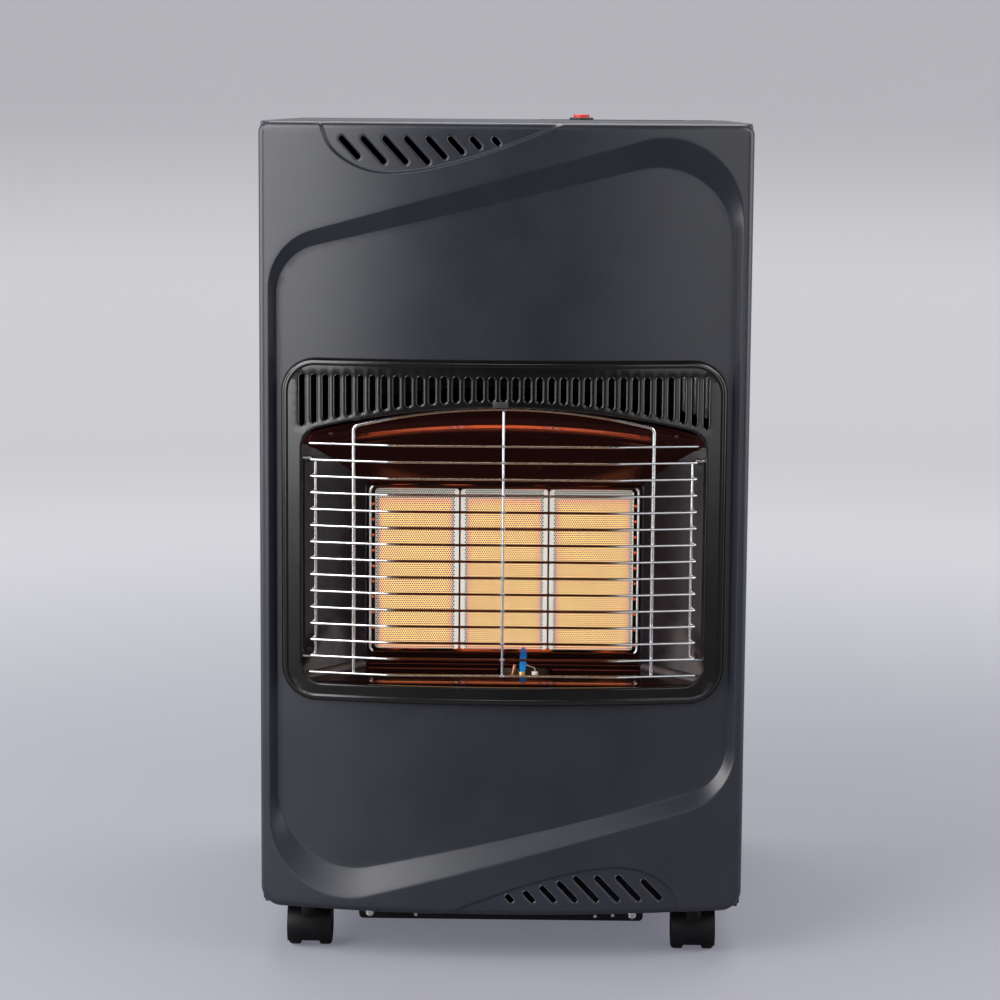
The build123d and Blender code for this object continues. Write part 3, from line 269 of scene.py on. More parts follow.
def triangulated(outlines, guides, ridges, spacing):  # an even net that keeps to all these lines
    points, edges, taken = [], [], set()

    def cell(p):
        return round(p[0] * 3), round(p[1] * 3)

    for outline in (*outlines, *ridges):
        first = len(points)
        points += [tuple(p) for p in outline]
        edges += [(first + k, first + (k + 1) % len(outline)) for k in range(len(outline))]
        taken |= {cell(p) for p in outline}
    for guide in guides:
        for p in guide:
            if cell(p) not in taken:
                taken.add(cell(p))
                points.append(tuple(p))
    placed = kdtree.KDTree(len(points))
    for index, p in enumerate(points):
        placed.insert((p[0], p[1], 0), index)
    placed.balance()
    low, high = outlines[0].min(0), outlines[0].max(0)
    row, v = 0, low[1] + spacing / 2
    while v < high[1]:
        u = low[0] + spacing * (0.5 if row % 2 else 1.0)
        while u < high[0]:
            if placed.find((u, v, 0))[2] > 0.62 * spacing:
                points.append((u, v))
            u += spacing
        v += spacing * 0.866
        row += 1
    made = geometry.delaunay_2d_cdt([Vector(p) for p in points], edges, [], 0, 1e-5)
    spots = np.array([tuple(p) for p in made[0]])
    triangles = np.array([f for f in made[2] if len(f) == 3])
    middles = spots[triangles].mean(1)
    kept = insideDistance(middles, outlines[0]) > 0
    for hole in outlines[1:]:
        near = ((middles > hole.min(0) - 1) & (middles < hole.max(0) + 1)).all(1) & kept
        kept[near] &= insideDistance(middles[near], hole) < 0
    return spots, triangles[kept]


def stacked(x, y, z):  # three columns, or plain numbers, to points
    return np.stack(np.broadcast_arrays(x, y, z), 1)


def pressedSheet(name, outlines, guides, spacing, depthAt, place, walls, finish, sheet, angle, ridges=()):
    # a sheet drawn flat, pressed to its depths, with a wall turned back along some outlines
    spots, triangles = triangulated(outlines, guides, ridges, spacing)
    used = np.unique(triangles)
    renumbered = -np.ones(len(spots), int)
    renumbered[used] = np.arange(len(used))
    spots, triangles = spots[used], renumbered[triangles]
    points = list(place(spots, depthAt(spots)))
    faces = [tuple(map(int, t)) for t in triangles]
    directed = {(a, b) for t in faces for a, b in ((t[0], t[1]), (t[1], t[2]), (t[2], t[0]))}
    borders = [(a, b) for a, b in directed if (b, a) not in directed]
    for outline, wallDepth in walls:
        onLine = np.abs(insideDistance(spots, outline)) < 0.02
        runs = [(a, b) for a, b in borders if onLine[a] and onLine[b]]
        foot = {}
        for index in dict.fromkeys(index for run in runs for index in run):
            foot[index] = len(points)
            spot = spots[index:index + 1]
            points.append(place(spot, wallDepth(spot) if callable(wallDepth) else wallDepth)[0])
        faces += [(b, a, foot[a], foot[b]) for a, b in runs]
    return thickened(pieceFrom(name, points, faces, finish), sheet, angle)


def loftedRows(rows, closed=False, capped=False):  # faces between equal rows of points
    count = len(rows[0])
    points = [p for row in rows for p in row]
    faces = []
    for r in range(len(rows) - 1):
        for k in range(count if closed else count - 1):
            n = (k + 1) % count
            faces.append((r * count + k, r * count + n, (r + 1) * count + n, (r + 1) * count + k))
    if capped:
        faces += [tuple(range(count - 1, -1, -1)), tuple(range(len(points) - count, len(points)))]
    return points, faces


def turnedPart(name, profile, centre, axis, finish, segments=48, angle=38, open=False):
    # profile holds (radius, along) pairs, turned about the axis through the centre
    axis = Vector(axis).normalized()
    side = axis.orthogonal().normalized()
    other = axis.cross(side)
    rows = []
    for radius, along in profile:
        ring = []
        for k in range(segments):
            turn = 2 * math.pi * k / segments
            spoke = side * math.cos(turn) + other * math.sin(turn)
            ring.append(tuple(Vector(centre) + axis * along + spoke * radius))
        rows.append(ring)
    points, faces = loftedRows(rows, True)
    for ring, order in ((0, -1), (len(rows) - 1, 1)):
        if profile[ring][0] > 1e-6 and not open:
            faces.append(tuple(ring * segments + k for k in range(segments))[::order])
    return shaded(tidied(pieceFrom(name, points, faces, finish)), angle)


def dome(radius, height, rings=3, segments=12):  # low dome standing on the plane y = 0, towards -y
    points, faces = [(0, -height, 0)], []
    for ring in range(1, rings + 1):
        lean = math.pi / 2 * ring / rings
        for k in range(segments):
            turn = 2 * math.pi * k / segments
            points.append((radius * math.sin(lean) * math.cos(turn), -height * math.cos(lean),
                           radius * math.sin(lean) * math.sin(turn)))
    for k in range(segments):
        faces.append((0, 1 + k, 1 + (k + 1) % segments))
    for ring in range(rings - 1):
        for k in range(segments):
            n = (k + 1) % segments
            a, b = 1 + ring * segments, 1 + (ring + 1) * segments
            faces.append((a + k, b + k, b + n, a + n))
    last = 1 + (rings - 1) * segments
    faces.append(tuple(last + k for k in range(segments)))
    return points, faces


def filletedPath(corners, radii, steps=6):  # a run of straights and arcs through the corners
    corners = [Vector(c) for c in corners]
    path = [corners[0]]
    for index in range(1, len(corners) - 1):
        corner = corners[index]
        back = (corners[index - 1] - corner).normalized()
        on = (corners[index + 1] - corner).normalized()
        half = back.angle(on) / 2
        reach = radii[index - 1] / math.tan(half)
        middle = corner + (back + on).normalized() * radii[index - 1] / math.sin(half)
        first, last = corner + back * reach - middle, corner + on * reach - middle
        for step in range(steps + 1):
            path.append(middle + first.slerp(last, step / steps, first).normalized() * radii[index - 1])
    path.append(corners[-1])
    return path


class Signal:  # a shader socket that takes part in sums
    def __init__(self, finish, socket):
        self.finish, self.socket = finish, socket

    def maths(self, operation, other, swapped=False):
        pair = (other, self) if swapped else (self, other)
        return self.finish.node("ShaderNodeMath", {"operation": operation}, dict(enumerate(pair)))

    def __add__(self, other):
        return self.maths("ADD", other)

    def __radd__(self, other):
        return self.maths("ADD", other, True)

    def __sub__(self, other):
        return self.maths("SUBTRACT", other)

    def __rsub__(self, other):
        return self.maths("SUBTRACT", other, True)

    def __mul__(self, other):
        return self.maths("MULTIPLY", other)

    def between(self, low, high):  # 0 below low, 1 above high, smooth between
        return self.finish.node(
            "ShaderNodeMapRange", {"interpolation_type": "SMOOTHSTEP"},
            {"Value": self, "From Min": low, "From Max": high, "To Min": 0.0, "To Max": 1.0}, "Result")


class Finish:  # one material and the nodes in it
    def __init__(self, name, **values):
        self.material = bpy.data.materials.new(name)
        self.material.use_nodes = True
        self.tree = self.material.node_tree
        self.shader = self.tree.nodes["Principled BSDF"]
        self.put(self.shader, values)

    def put(self, node, values):
        for key, value in values.items():
            socket = node.inputs[key.replace("_", " ") if isinstance(key, str) else key]
            if isinstance(value, Signal):
                self.tree.links.new(value.socket, socket)
            elif isinstance(value, tuple) and len(value) == 3 and socket.type == "RGBA":
                socket.default_value = (*value, 1)
            else:
                socket.default_value = value

    def node(self, kind, settings=None, values=None, output=0):
        made = self.tree.nodes.new(kind)
        for key, value in (settings or {}).items():
            if key == "stops":
                ramp = made.color_ramp
                for position, colour in value[2:]:
                    ramp.elements.new(position)
                for element, (position, colour) in zip(ramp.elements, sorted(value)):
                    element.position, element.color = position, (*colour, 1)
            else:
                setattr(made, key, value)
        self.put(made, values or {})
        return Signal(self, made.outputs[output])

    def place(self):
        return self.node("ShaderNodeTexCoord", output="Object")

    def along(self, axis):
        return self.node("ShaderNodeSeparateXYZ", {}, {0: self.place()}, "XYZ".index(axis))

    def aside(self, across=None):  # distance from the middle, to either side
        return self.node("ShaderNodeMath", {"operation": "ABSOLUTE"}, {0: across or self.along("X")})

    def noise(self, size, detail=2.0, roughness=0.5, stretch=(1, 1, 1)):
        where = self.node("ShaderNodeMapping", {}, {"Vector": self.place(), "Scale": stretch})
        values = {"Vector": where, "Scale": 1 / (size * mm), "Detail": detail, "Roughness": roughness}
        return self.node("ShaderNodeTexNoise", {}, values, "Fac")

    def mixed(self, factor, first, second):
        return self.node("ShaderNodeMix", {"data_type": "RGBA"}, {0: factor, 6: first, 7: second}, 2)

    def bump(self, height, distance, strength=1.0):
        values = {"Height": height, "Distance": distance * mm, "Strength": strength}
        self.put(self.shader, {"Normal": self.node("ShaderNodeBump", {}, values)})

    def wear(self, **values):
        self.put(self.shader, values)
        return self.material


paintValues = {
    "colour": (0.0122, 0.0134, 0.0200), "paler": (0.0166, 0.0182, 0.0267),
    "roughness": 0.30, "grainSize": 0.9, "grainHeight": 0.035,
}


def cabinetPaint(name="cabinetPaint", lift=1.0, ior=1.5):  # dark textured powder coat; a lift above 1 gives a paler copy, a painted highlight, and below 1 a darker copy, painted shade
    v = paintValues
    finish = Finish(name, IOR=ior)
    grain = finish.noise(v["grainSize"], 3, 0.65)
    cloud = finish.noise(60, 3, 0.6)
    specks = finish.noise(2.2, 1, 0.5)
    colour = finish.mixed(cloud.between(0.35, 0.65) * 0.6 + grain.between(0.45, 0.7) * 0.4,
                          tuple(c * lift for c in v["colour"]), tuple(c * lift for c in v["paler"]))
    finish.bump(grain + specks * 0.6, v["grainHeight"])
    rough = v["roughness"] + cloud * 0.05 + grain.between(0.4, 0.7) * 0.06
    return finish.wear(Base_Color=colour, Roughness=rough)


def blackEnamel(name, colour=(0.0034, 0.003, 0.0032), roughness=0.12, grain=0.012):
    finish = Finish(name, IOR=1.5)
    orange = finish.noise(2.6, 2, 0.5)
    cloud = finish.noise(35, 3, 0.6)
    tone = finish.mixed(cloud.between(0.35, 0.7), colour, tuple(c * 1.6 for c in colour))
    finish.bump(orange, grain)
    return finish.wear(Base_Color=tone, Roughness=roughness + cloud * 0.06)


# per sheet: colour, tint, the front fold's painted reflection colour, the fold's span, the painted glow, and
# the height above which painted shade is black
heatValues = {
    "roof": ((0.024, 0.007, 0.005), (0.036, 0.010, 0.007), (0.62, 0.13, 0.065), (-193.5, -200.6),
             (0.009, 0.0028, 0.0024), 484.5),
    "floor": ((0.055, 0.012, 0.008), (0.075, 0.017, 0.010), (0.30, 0.07, 0.035), (-199, -206),
              (0.0035, 0.0014, 0.0012), 900),
    "foldHalf": (0.122, 0.132), "foldEase": 1.2, "headCurve": 0.786, "black": (0.0, 0.0, 0.0),
}


def heatedSteel(name, colour, tint, bright, fold, paintedGlow, paintedShadeFrom):
    # brown reflector sheet; its brighter orange front fold is a painted reflection of the plaques, its faint
    # emission a painted glow of their light, and the black above the window's head is painted shade
    v = heatValues
    finish = Finish(name, Metallic=1.0, Emission_Strength=1.0)
    depth = finish.along("Y")
    cloud = finish.noise(28, 4, 0.6)
    streak = finish.noise(5, 3, 0.6, (0.25, 1, 1))
    across, height = finish.along("X"), finish.along("Z")
    off = finish.aside(across)
    folded = (depth.between(fold[1] * mm, (fold[1] + v["foldEase"]) * mm)
              * (1 - off.between(*v["foldHalf"]))
              * (1 - depth.between((fold[0] - v["foldEase"]) * mm, fold[0] * mm)))
    paintedHeadShade = (height + across * across * v["headCurve"]).between(paintedShadeFrom * mm, (paintedShadeFrom + 2) * mm)
    tone = finish.mixed(folded, finish.mixed(cloud.between(0.3, 0.7), colour, tint), bright)
    finish.bump(streak + cloud, 0.012)
    return finish.wear(Base_Color=finish.mixed(paintedHeadShade, tone, v["black"]),
                       Emission_Color=finish.mixed(paintedHeadShade, paintedGlow, v["black"]),
                       Roughness=streak * 0.06 + 0.06)


def metalFinish(name, colour, tint, roughness, size=12.0, grain=0.01, stretch=(1, 1, 1)):
    finish = Finish(name, Metallic=1.0)
    cloud = finish.noise(size, 4, 0.6)
    brushed = finish.noise(1.2, 3, 0.6, stretch)
    tone = finish.mixed(cloud.between(0.3, 0.7) * 0.7 + brushed.between(0.4, 0.7) * 0.3, colour, tint)
    finish.bump(brushed, grain)
    return finish.wear(Base_Color=tone, Roughness=roughness + cloud * 0.1 + brushed * 0.06)


def mouldedPlastic(name, colour, roughness=0.42, grain=0.02, size=0.5, ior=1.46):
    finish = Finish(name, IOR=ior)
    texture = finish.noise(size, 2, 0.6)
    cloud = finish.noise(14, 3, 0.55)
    tone = finish.mixed(cloud.between(0.35, 0.65), colour, tuple(c * 1.25 + 0.002 for c in colour))
    finish.bump(texture, grain)
    return finish.wear(Base_Color=tone, Roughness=roughness + cloud * 0.1)


# the straw colour is a painted reflection of the fire's light; the dark brown, a painted shade in front of
# the glowing plaques
platedValues = {
    "bright": (0.72, 0.72, 0.75), "straw": (0.50, 0.31, 0.18), "darkBrown": (0.16, 0.028, 0.014),
    "shadeHalf": (0.086, 0.100), "reflectionHalf": (0.088, 0.104), "shadeFoot": (0.258, 0.266),
    "shadeHead": (0.408, 0.418), "upright": (0.0019, 0.0024),  # the middle upright stays bright
}


def wireFinish():  # bright plated wire; its straw middle is a painted reflection of the fire, and in front of the plaques a dark brown painted shade with the fire's orange in it
    v = platedValues
    finish = Finish("platedWire", Metallic=1.0)
    across, height = finish.along("X"), finish.along("Z")
    off = finish.aside(across)
    paintedShade = ((1 - off.between(*v["shadeHalf"])) * height.between(*v["shadeFoot"])
           * (1 - height.between(*v["shadeHead"])))
    paintedReflection = (1 - off.between(*v["reflectionHalf"])) * off.between(*v["upright"])
    cloud = finish.noise(9, 3, 0.6)
    tone = finish.mixed(paintedReflection * 0.75, v["bright"], v["straw"])
    tone = finish.mixed(paintedShade * off.between(*v["upright"]) * 0.96, tone, v["darkBrown"])
    return finish.wear(Base_Color=tone, Roughness=0.20 + cloud * 0.06)


# the bead's bright colour at the sides is a painted highlight; the flange's straw patches carry a painted
# glow
rimColours = {
    "highlightFrom": (0.1145, 0.1160), "darkBrown": (0.07, 0.022, 0.014), "bright": (0.92, 0.92, 0.93),
    "patchedTo": (0.106, 0.111), "dark": (0.030, 0.012, 0.010), "blued": (0.055, 0.026, 0.026),
    "straw": (0.55, 0.12, 0.045), "strawGlow": (0.30, 0.045, 0.012),
    "dents": ((0.35, 0.06, 0.02), (0.6, 0.14, 0.06)),
    "dentGlow": ((0.22, 0.022, 0.006), (0.62, 0.085, 0.022)),
}


def rimFinish():  # the burner frame's bead: bright at the sides, a painted highlight, and dark brown along its top and foot
    v = rimColours
    finish = Finish("frameRim", Metallic=1.0)
    off = finish.aside()
    cloud = finish.noise(12, 3, 0.6)
    tone = finish.mixed(off.between(*v["highlightFrom"]), v["darkBrown"], v["bright"])
    finish.bump(cloud, 0.006)
    return finish.wear(Base_Color=tone, Roughness=0.32 + cloud * 0.08)


def flangeFinish():  # dark glossy sheet, blued and straw coloured in patches; the straw patches also carry a painted glow
    v = rimColours
    finish = Finish("frameFlange", Metallic=1.0)
    off = finish.aside()
    patches = finish.noise(24, 2, 0.5, (0.6, 1, 3)).between(0.52, 0.62) * (1 - off.between(*v["patchedTo"]))
    cloud = finish.noise(9, 3, 0.6)
    tone = finish.mixed(cloud.between(0.35, 0.65), v["dark"], v["blued"])
    tone = finish.mixed(patches, tone, v["straw"])
    glow = finish.mixed(patches, (0.0, 0.0, 0.0), v["strawGlow"])
    finish.bump(cloud, 0.01)
    return finish.wear(Base_Color=tone, Roughness=0.16 + cloud * 0.1, Emission_Color=glow,
                       Emission_Strength=1.0)


def dentFinish():  # dents of the frame, where the plaques' edge shines in
    finish = Finish("frameDent", Metallic=1.0, Emission_Strength=1.0)
    cloud = finish.noise(2.5, 2, 0.5)
    tone = finish.mixed(cloud, *rimColours["dents"])
    glow = finish.mixed(cloud.between(0.3, 0.7), *rimColours["dentGlow"])
    return finish.wear(Base_Color=tone, Roughness=0.3 + cloud * 0.1, Emission_Color=glow)


plaqueValues = {
    "pitch": 78.0, "middleZ": 336.5, "halfHeight": 69.5, "faceY": -147.8,
    "land": (1.0, 0.70, 0.29), "edge": (1.0, 0.47, 0.30), "deep": (0.085, 0.014, 0.002),
    "cream": (0.86, 0.80, 0.73), "holeShade": (0.05, 0.04, 0.035), "baked": (0.10, 0.07, 0.05), "glow": 1.42,
    "down": (0.125, 0.22), "borders": (6.8, 3.4, 1.2), "ragged": 2.4,  # unlit at the sides, top and foot
}


def plaqueFinish():  # glowing ceramic, unlit at its borders, darker down the holes; there the cream's turn to dark is painted shade
    v = plaqueValues
    finish = Finish("glowingCeramic", IOR=1.45, Roughness=0.85, Emission_Strength=v["glow"])
    across, height, depth = finish.along("X"), finish.along("Z"), finish.along("Y")
    folded = finish.node("ShaderNodeMath", {"operation": "PINGPONG"},
                         {0: across + v["pitch"] * mm / 2, 1: v["pitch"] * mm / 2})
    ragged = finish.noise(3.2, 3, 0.6) * (v["ragged"] * mm)
    side, top, foot = (border * mm for border in v["borders"])
    fromSide = folded - side + ragged
    fromTop = (v["middleZ"] + v["halfHeight"]) * mm - height + ragged - top
    fromFoot = height - (v["middleZ"] - v["halfHeight"]) * mm + ragged - foot
    lit = (fromSide.between(0.0006, 0.0024) * fromTop.between(0.0025, 0.0055)
           * fromFoot.between(-0.002, 0.001))
    hotter = (fromSide.between(0.0015, 0.006) * fromTop.between(0.004, 0.012)
              * fromFoot.between(-0.001, 0.004))
    patches = finish.noise(17, 2, 0.5).between(0.3, 0.75)
    down = depth.between(*((v["faceY"] + behind) * mm for behind in v["down"]))
    land = finish.mixed(hotter * (0.75 + patches * 0.25), v["edge"], v["land"])
    glow = finish.mixed(down, land, v["deep"])
    emission = finish.mixed(lit, (0.0, 0.0, 0.0), glow)
    cream = finish.mixed(down, v["cream"], v["holeShade"])
    base = finish.mixed(lit, cream, v["baked"])
    finish.bump(finish.noise(0.7, 2, 0.6), 0.03)
    return finish.wear(Base_Color=base, Emission_Color=emission)


def flameFinish():
    finish = Finish("pilotFlame", Roughness=0.9, Emission_Strength=1.0)
    height = finish.along("Z")
    up = height.between(0.250, 0.268)
    wisps = finish.noise(4, 2, 0.5)
    colour = finish.mixed(up, (0.004, 0.19, 0.52), (0.002, 0.07, 0.26))
    clear = 0.85 - up * 0.35 + wisps * 0.15
    return finish.wear(Base_Color=(0.0, 0.0, 0.0), Emission_Color=colour, Alpha=clear)


paint = cabinetPaint()
enamel = blackEnamel("surroundEnamel", roughness=0.16, grain=0.02)
sideEnamel = blackEnamel("sideReflectorEnamel", (0.011, 0.009, 0.0105), 0.07, 0.004)
# plain black enamel as painted shade: the roof's upper side, and discs at the guard's holes
paintedShadeEnamel = blackEnamel("reflectorBack", (0.002, 0.0018, 0.0018), 0.5, 0.01)
roofSteel = heatedSteel("roofEnamel", *heatValues["roof"])
floorSteel = heatedSteel("floorEnamel", *heatValues["floor"])
# paler than the side reflectors' enamel, a painted highlight on their rounded folds
foldEnamel = blackEnamel("foldEnamel", (0.030, 0.026, 0.030), 0.30, 0.01)
innerSteel = metalFinish("galvanisedSteel", (0.42, 0.43, 0.45), (0.56, 0.57, 0.59), 0.42, 18, 0.02)
hotSteel = metalFinish("hotSteel", (0.34, 0.27, 0.21), (0.50, 0.42, 0.34), 0.34, 16, 0.02)
partitionSteel = metalFinish("partitionSteel", (0.030, 0.030, 0.033), (0.050, 0.048, 0.050), 0.5, 18, 0.02)
pilotSteel = metalFinish("pilotSteel", (0.045, 0.028, 0.022), (0.085, 0.052, 0.040), 0.34, 9, 0.02)
frameRim, frameFlange, frameDent = rimFinish(), flangeFinish(), dentFinish()
plated = wireFinish()
brass = metalFinish("brass", (0.66, 0.45, 0.17), (0.78, 0.56, 0.24), 0.28, 6)
aluminium = metalFinish("pipeAluminium", (0.70, 0.71, 0.73), (0.82, 0.83, 0.85), 0.34, 15)
electrodeWire = metalFinish("electrodeWire", (0.45, 0.42, 0.38), (0.60, 0.56, 0.50), 0.36, 5)
copper = metalFinish("sensorCopper", (0.62, 0.30, 0.17), (0.74, 0.40, 0.24), 0.36, 6)
screwSteel = metalFinish("screwSteel", (0.62, 0.61, 0.62), (0.76, 0.75, 0.75), 0.30, 5)
insulator = mouldedPlastic("insulatorCeramic", (0.72, 0.68, 0.60), 0.22, 0.01, 1.0)
rubber = mouldedPlastic("leadRubber", (0.012, 0.012, 0.013), 0.55, 0.03, 0.8)
consolePlastic = mouldedPlastic("consolePlastic", (0.010, 0.010, 0.011), 0.38, 0.04, 0.45)
knobPlastic = mouldedPlastic("knobPlastic", (0.013, 0.013, 0.014), 0.30, 0.02, 0.5)
buttonRed = mouldedPlastic("buttonRed", (0.46, 0.016, 0.014), 0.26, 0.01, 0.8)
castorPlastic = mouldedPlastic("castorPlastic", (0.0028, 0.0028, 0.0038), 0.40, 0.03, 0.6, 1.25)
markWhite = mouldedPlastic("markWhite", (0.62, 0.62, 0.60), 0.45, 0.01, 0.8)
plaqueGlow = plaqueFinish()
print("materials made")


def nodeTree(name, inputs):
    tree = bpy.data.node_groups.new(name, "GeometryNodeTree")
    tree.interface.new_socket("Geometry", in_out="INPUT", socket_type="NodeSocketGeometry")
    for label, kind in inputs.items():
        tree.interface.new_socket(label, in_out="INPUT", socket_type="NodeSocket" + kind)
    tree.interface.new_socket("Geometry", in_out="OUTPUT", socket_type="NodeSocketGeometry")
    return tree, tree.nodes.new("NodeGroupInput").outputs


def step(tree, kind, settings, values, output=0):
    made = tree.nodes.new(kind)
    for key, value in settings.items():
        setattr(made, key, value)
    for key, value in values.items():
        if isinstance(value, bpy.types.NodeSocket):
            tree.links.new(value, made.inputs[key])
        else:
            made.inputs[key].default_value = value
    return made.outputs[output]


def closeTree(tree, geometryOut, material):
    real = step(tree, "GeometryNodeRealizeInstances", {}, {"Geometry": geometryOut})
    done = step(tree, "GeometryNodeSetMaterial", {}, {"Geometry": real, "Material": material})
    tree.links.new(done, tree.nodes.new("NodeGroupOutput").inputs[0])
    return tree


def tubeAlong(tree, given):  # a tube along the given lines
    line = step(tree, "GeometryNodeMeshToCurve", {}, {"Mesh": given["Geometry"]})
    ring = step(tree, "GeometryNodeCurvePrimitiveCircle", {},
                {"Resolution": given["Sides"], "Radius": given["Radius"]})
    return step(tree, "GeometryNodeCurveToMesh", {},
                {"Curve": line, "Profile Curve": ring, "Fill Caps": True})


def onPoints(tree, spots, part):  # the part of another object on every point
    made = step(tree, "GeometryNodeObjectInfo", {"transform_space": "ORIGINAL"}, {"Object": part}, "Geometry")
    return step(tree, "GeometryNodeInstanceOnPoints", {}, {"Points": spots, "Instance": made})


def beadTree():  # a bead swept along every line
    tree, given = nodeTree("sweptBead", {"Radius": "Float", "Sides": "Int", "Material": "Material"})
    return closeTree(tree, tubeAlong(tree, given), given["Material"])


def ladderTree():  # one bent wire, repeated upwards
    tree, given = nodeTree("wireLadder", {"Radius": "Float", "Sides": "Int", "Count": "Int",
                                          "Start": "Vector", "Pitch": "Vector", "Material": "Material"})
    tube = tubeAlong(tree, given)
    rungs = step(tree, "GeometryNodeMeshLine", {},
                 {"Count": given["Count"], "Start Location": given["Start"], "Offset": given["Pitch"]})
    many = step(tree, "GeometryNodeInstanceOnPoints", {}, {"Points": rungs, "Instance": tube})
    return closeTree(tree, many, given["Material"])


def copiesTree():  # one part on every point
    tree, given = nodeTree("partCopies", {"Part": "Object", "Material": "Material"})
    return closeTree(tree, onPoints(tree, given["Geometry"], given["Part"]), given["Material"])


def honeycombTree():  # rows of cells, every other row half a pitch on
    tree, given = nodeTree("honeycomb", {"Cell": "Object", "Columns": "Int", "Rows": "Int",
                                         "Pitch": "Float", "Row Pitch": "Float", "Centre": "Vector",
                                         "Material": "Material"})

    def maths(operation, *values):
        return step(tree, "ShaderNodeMath", {"operation": operation}, dict(enumerate(values)))

    columns, rows = given["Columns"], given["Rows"]
    spots = step(tree, "GeometryNodePoints", {}, {"Count": maths("MULTIPLY", columns, rows)})
    index = step(tree, "GeometryNodeInputIndex", {}, {})
    row = maths("FLOOR", maths("DIVIDE", index, columns))
    column = maths("MODULO", index, columns)
    halfOn = maths("MULTIPLY_ADD", maths("MODULO", row, 2.0), 0.5, -0.25)
    spanX, spanZ = (maths("MULTIPLY_ADD", count, -0.5, 0.5) for count in (columns, rows))
    x = maths("MULTIPLY", maths("ADD", maths("ADD", column, halfOn), spanX), given["Pitch"])
    z = maths("MULTIPLY", maths("ADD", row, spanZ), given["Row Pitch"])
    spot = step(tree, "ShaderNodeCombineXYZ", {}, {"X": x, "Z": z})
    spot = step(tree, "ShaderNodeVectorMath", {"operation": "ADD"}, {0: spot, 1: given["Centre"]})
    spots = step(tree, "GeometryNodeSetPosition", {}, {"Geometry": spots, "Position": spot})
    real = step(tree, "GeometryNodeRealizeInstances", {}, {"Geometry": onPoints(tree, spots, given["Cell"])})
    sheet = step(tree, "GeometryNodeMergeByDistance", {}, {"Geometry": real, "Distance": 0.00002})
    return closeTree(tree, sheet, given["Material"])


def grown(name, tree, points, edges, values, angle=38):  # runs a tree and keeps its mesh
    piece = pieceFrom(name, points, [], None, edges)
    growth = piece.modifiers.new("growth", "NODES")
    growth.node_group = tree
    sockets = {item.name: item.identifier for item in tree.interface.items_tree
               if item.item_type == "SOCKET" and item.in_out == "INPUT"}
    for label, value in values.items():
        growth[sockets[label]] = value
    return settled(piece, angle)


def loopsOf(lines, closed=True):  # points and edges of several lines
    points, edges = [], []
    for line in lines:
        first = len(points)
        points += [tuple(p) for p in line]
        last = len(line) if closed else len(line) - 1
        edges += [(first + k, first + (k + 1) % len(line)) for k in range(last)]
    return points, edges


sweptBead, wireLadder, partCopies, honeycomb = beadTree(), ladderTree(), copiesTree(), honeycombTree()


def swept(name, lines, radius, sides, finish, closed=True, angle=38):  # beads along several lines
    return grown(name, sweptBead, *loopsOf(lines, closed),
                 {"Radius": radius * mm, "Sides": sides, "Material": finish}, angle)


def copies(name, part, spots, finish):  # the part on every spot
    return grown(name, partCopies, spots, [], {"Part": part, "Material": finish})


print("node trees built")


panelValues = {
    "halfWidth": 210.0, "low": 46.0, "high": 728.0, "nose": -230.0, "radius": 801.5, "backY": -188.0,
    "edgeRadius": 6.0, "topCorner": 10.0, "footCorner": 17.0, "sheet": 0.7,
    "borderHalf": (202.0, 295.5), "borderSlope": 0.279, "borderRadii": (53.0, 68.0),
    "fieldHalf": (195.0, 274.5), "fieldSlope": 0.237, "fieldRadii": (43.0, 66.0), "fieldDepth": 8.0,
    "leafDepth": 1.5, "leafWall": 2.6, "ventHalf": 2.8, "ventLean": 0.92, "ventTop": 713.6,
    "ventFirst": -138.0, "ventPitch": 18.4, "ventDrops": (15, 19, 19, 19, 14.5, 10.5, 6, 3),
    "leaf": ((-161, 736), (-147.7, 704.6), (-117.9, 686.5), (-80, 685.2), (-25.4, 697.8), (41.2, 722.7),
             (66, 736)),
    "leafShifts": (-1.2, -0.5, 0.0, 0.6, 1.2, 1.9, 2.6, 3.3, 4.4), "window": ((-182, 234.15), (182, 525.15)),
    "slopeSteps": (0.03, 0.07, 0.12, 0.3, 0.5, 0.7, 0.88, 0.94, 0.975), "spacing": 5.0, "rimRadius": 0.5,
}
panelMiddle = (panelValues["low"] + panelValues["high"]) / 2


def bulge(x, behind=0.0):  # depth of the curved front, or of a surface behind it
    v = panelValues
    return v["nose"] + v["radius"] - np.sqrt((v["radius"] - behind) ** 2 - x**2)


def slantedOutline(half, slope, radii, spacing=3.0):
    w, h = half
    rise = slope * w
    corners = [(-w, panelMiddle - h - rise), (w, panelMiddle - h + rise),
               (w, panelMiddle + h + rise), (-w, panelMiddle + h - rise)]
    return roundedOutline(corners, [radii[1], radii[0], radii[1], radii[0]], spacing)


def turnedAbout(points):  # half a turn about the panel's middle
    return np.stack([-points[:, 0], 2 * panelMiddle - points[:, 1]], 1)


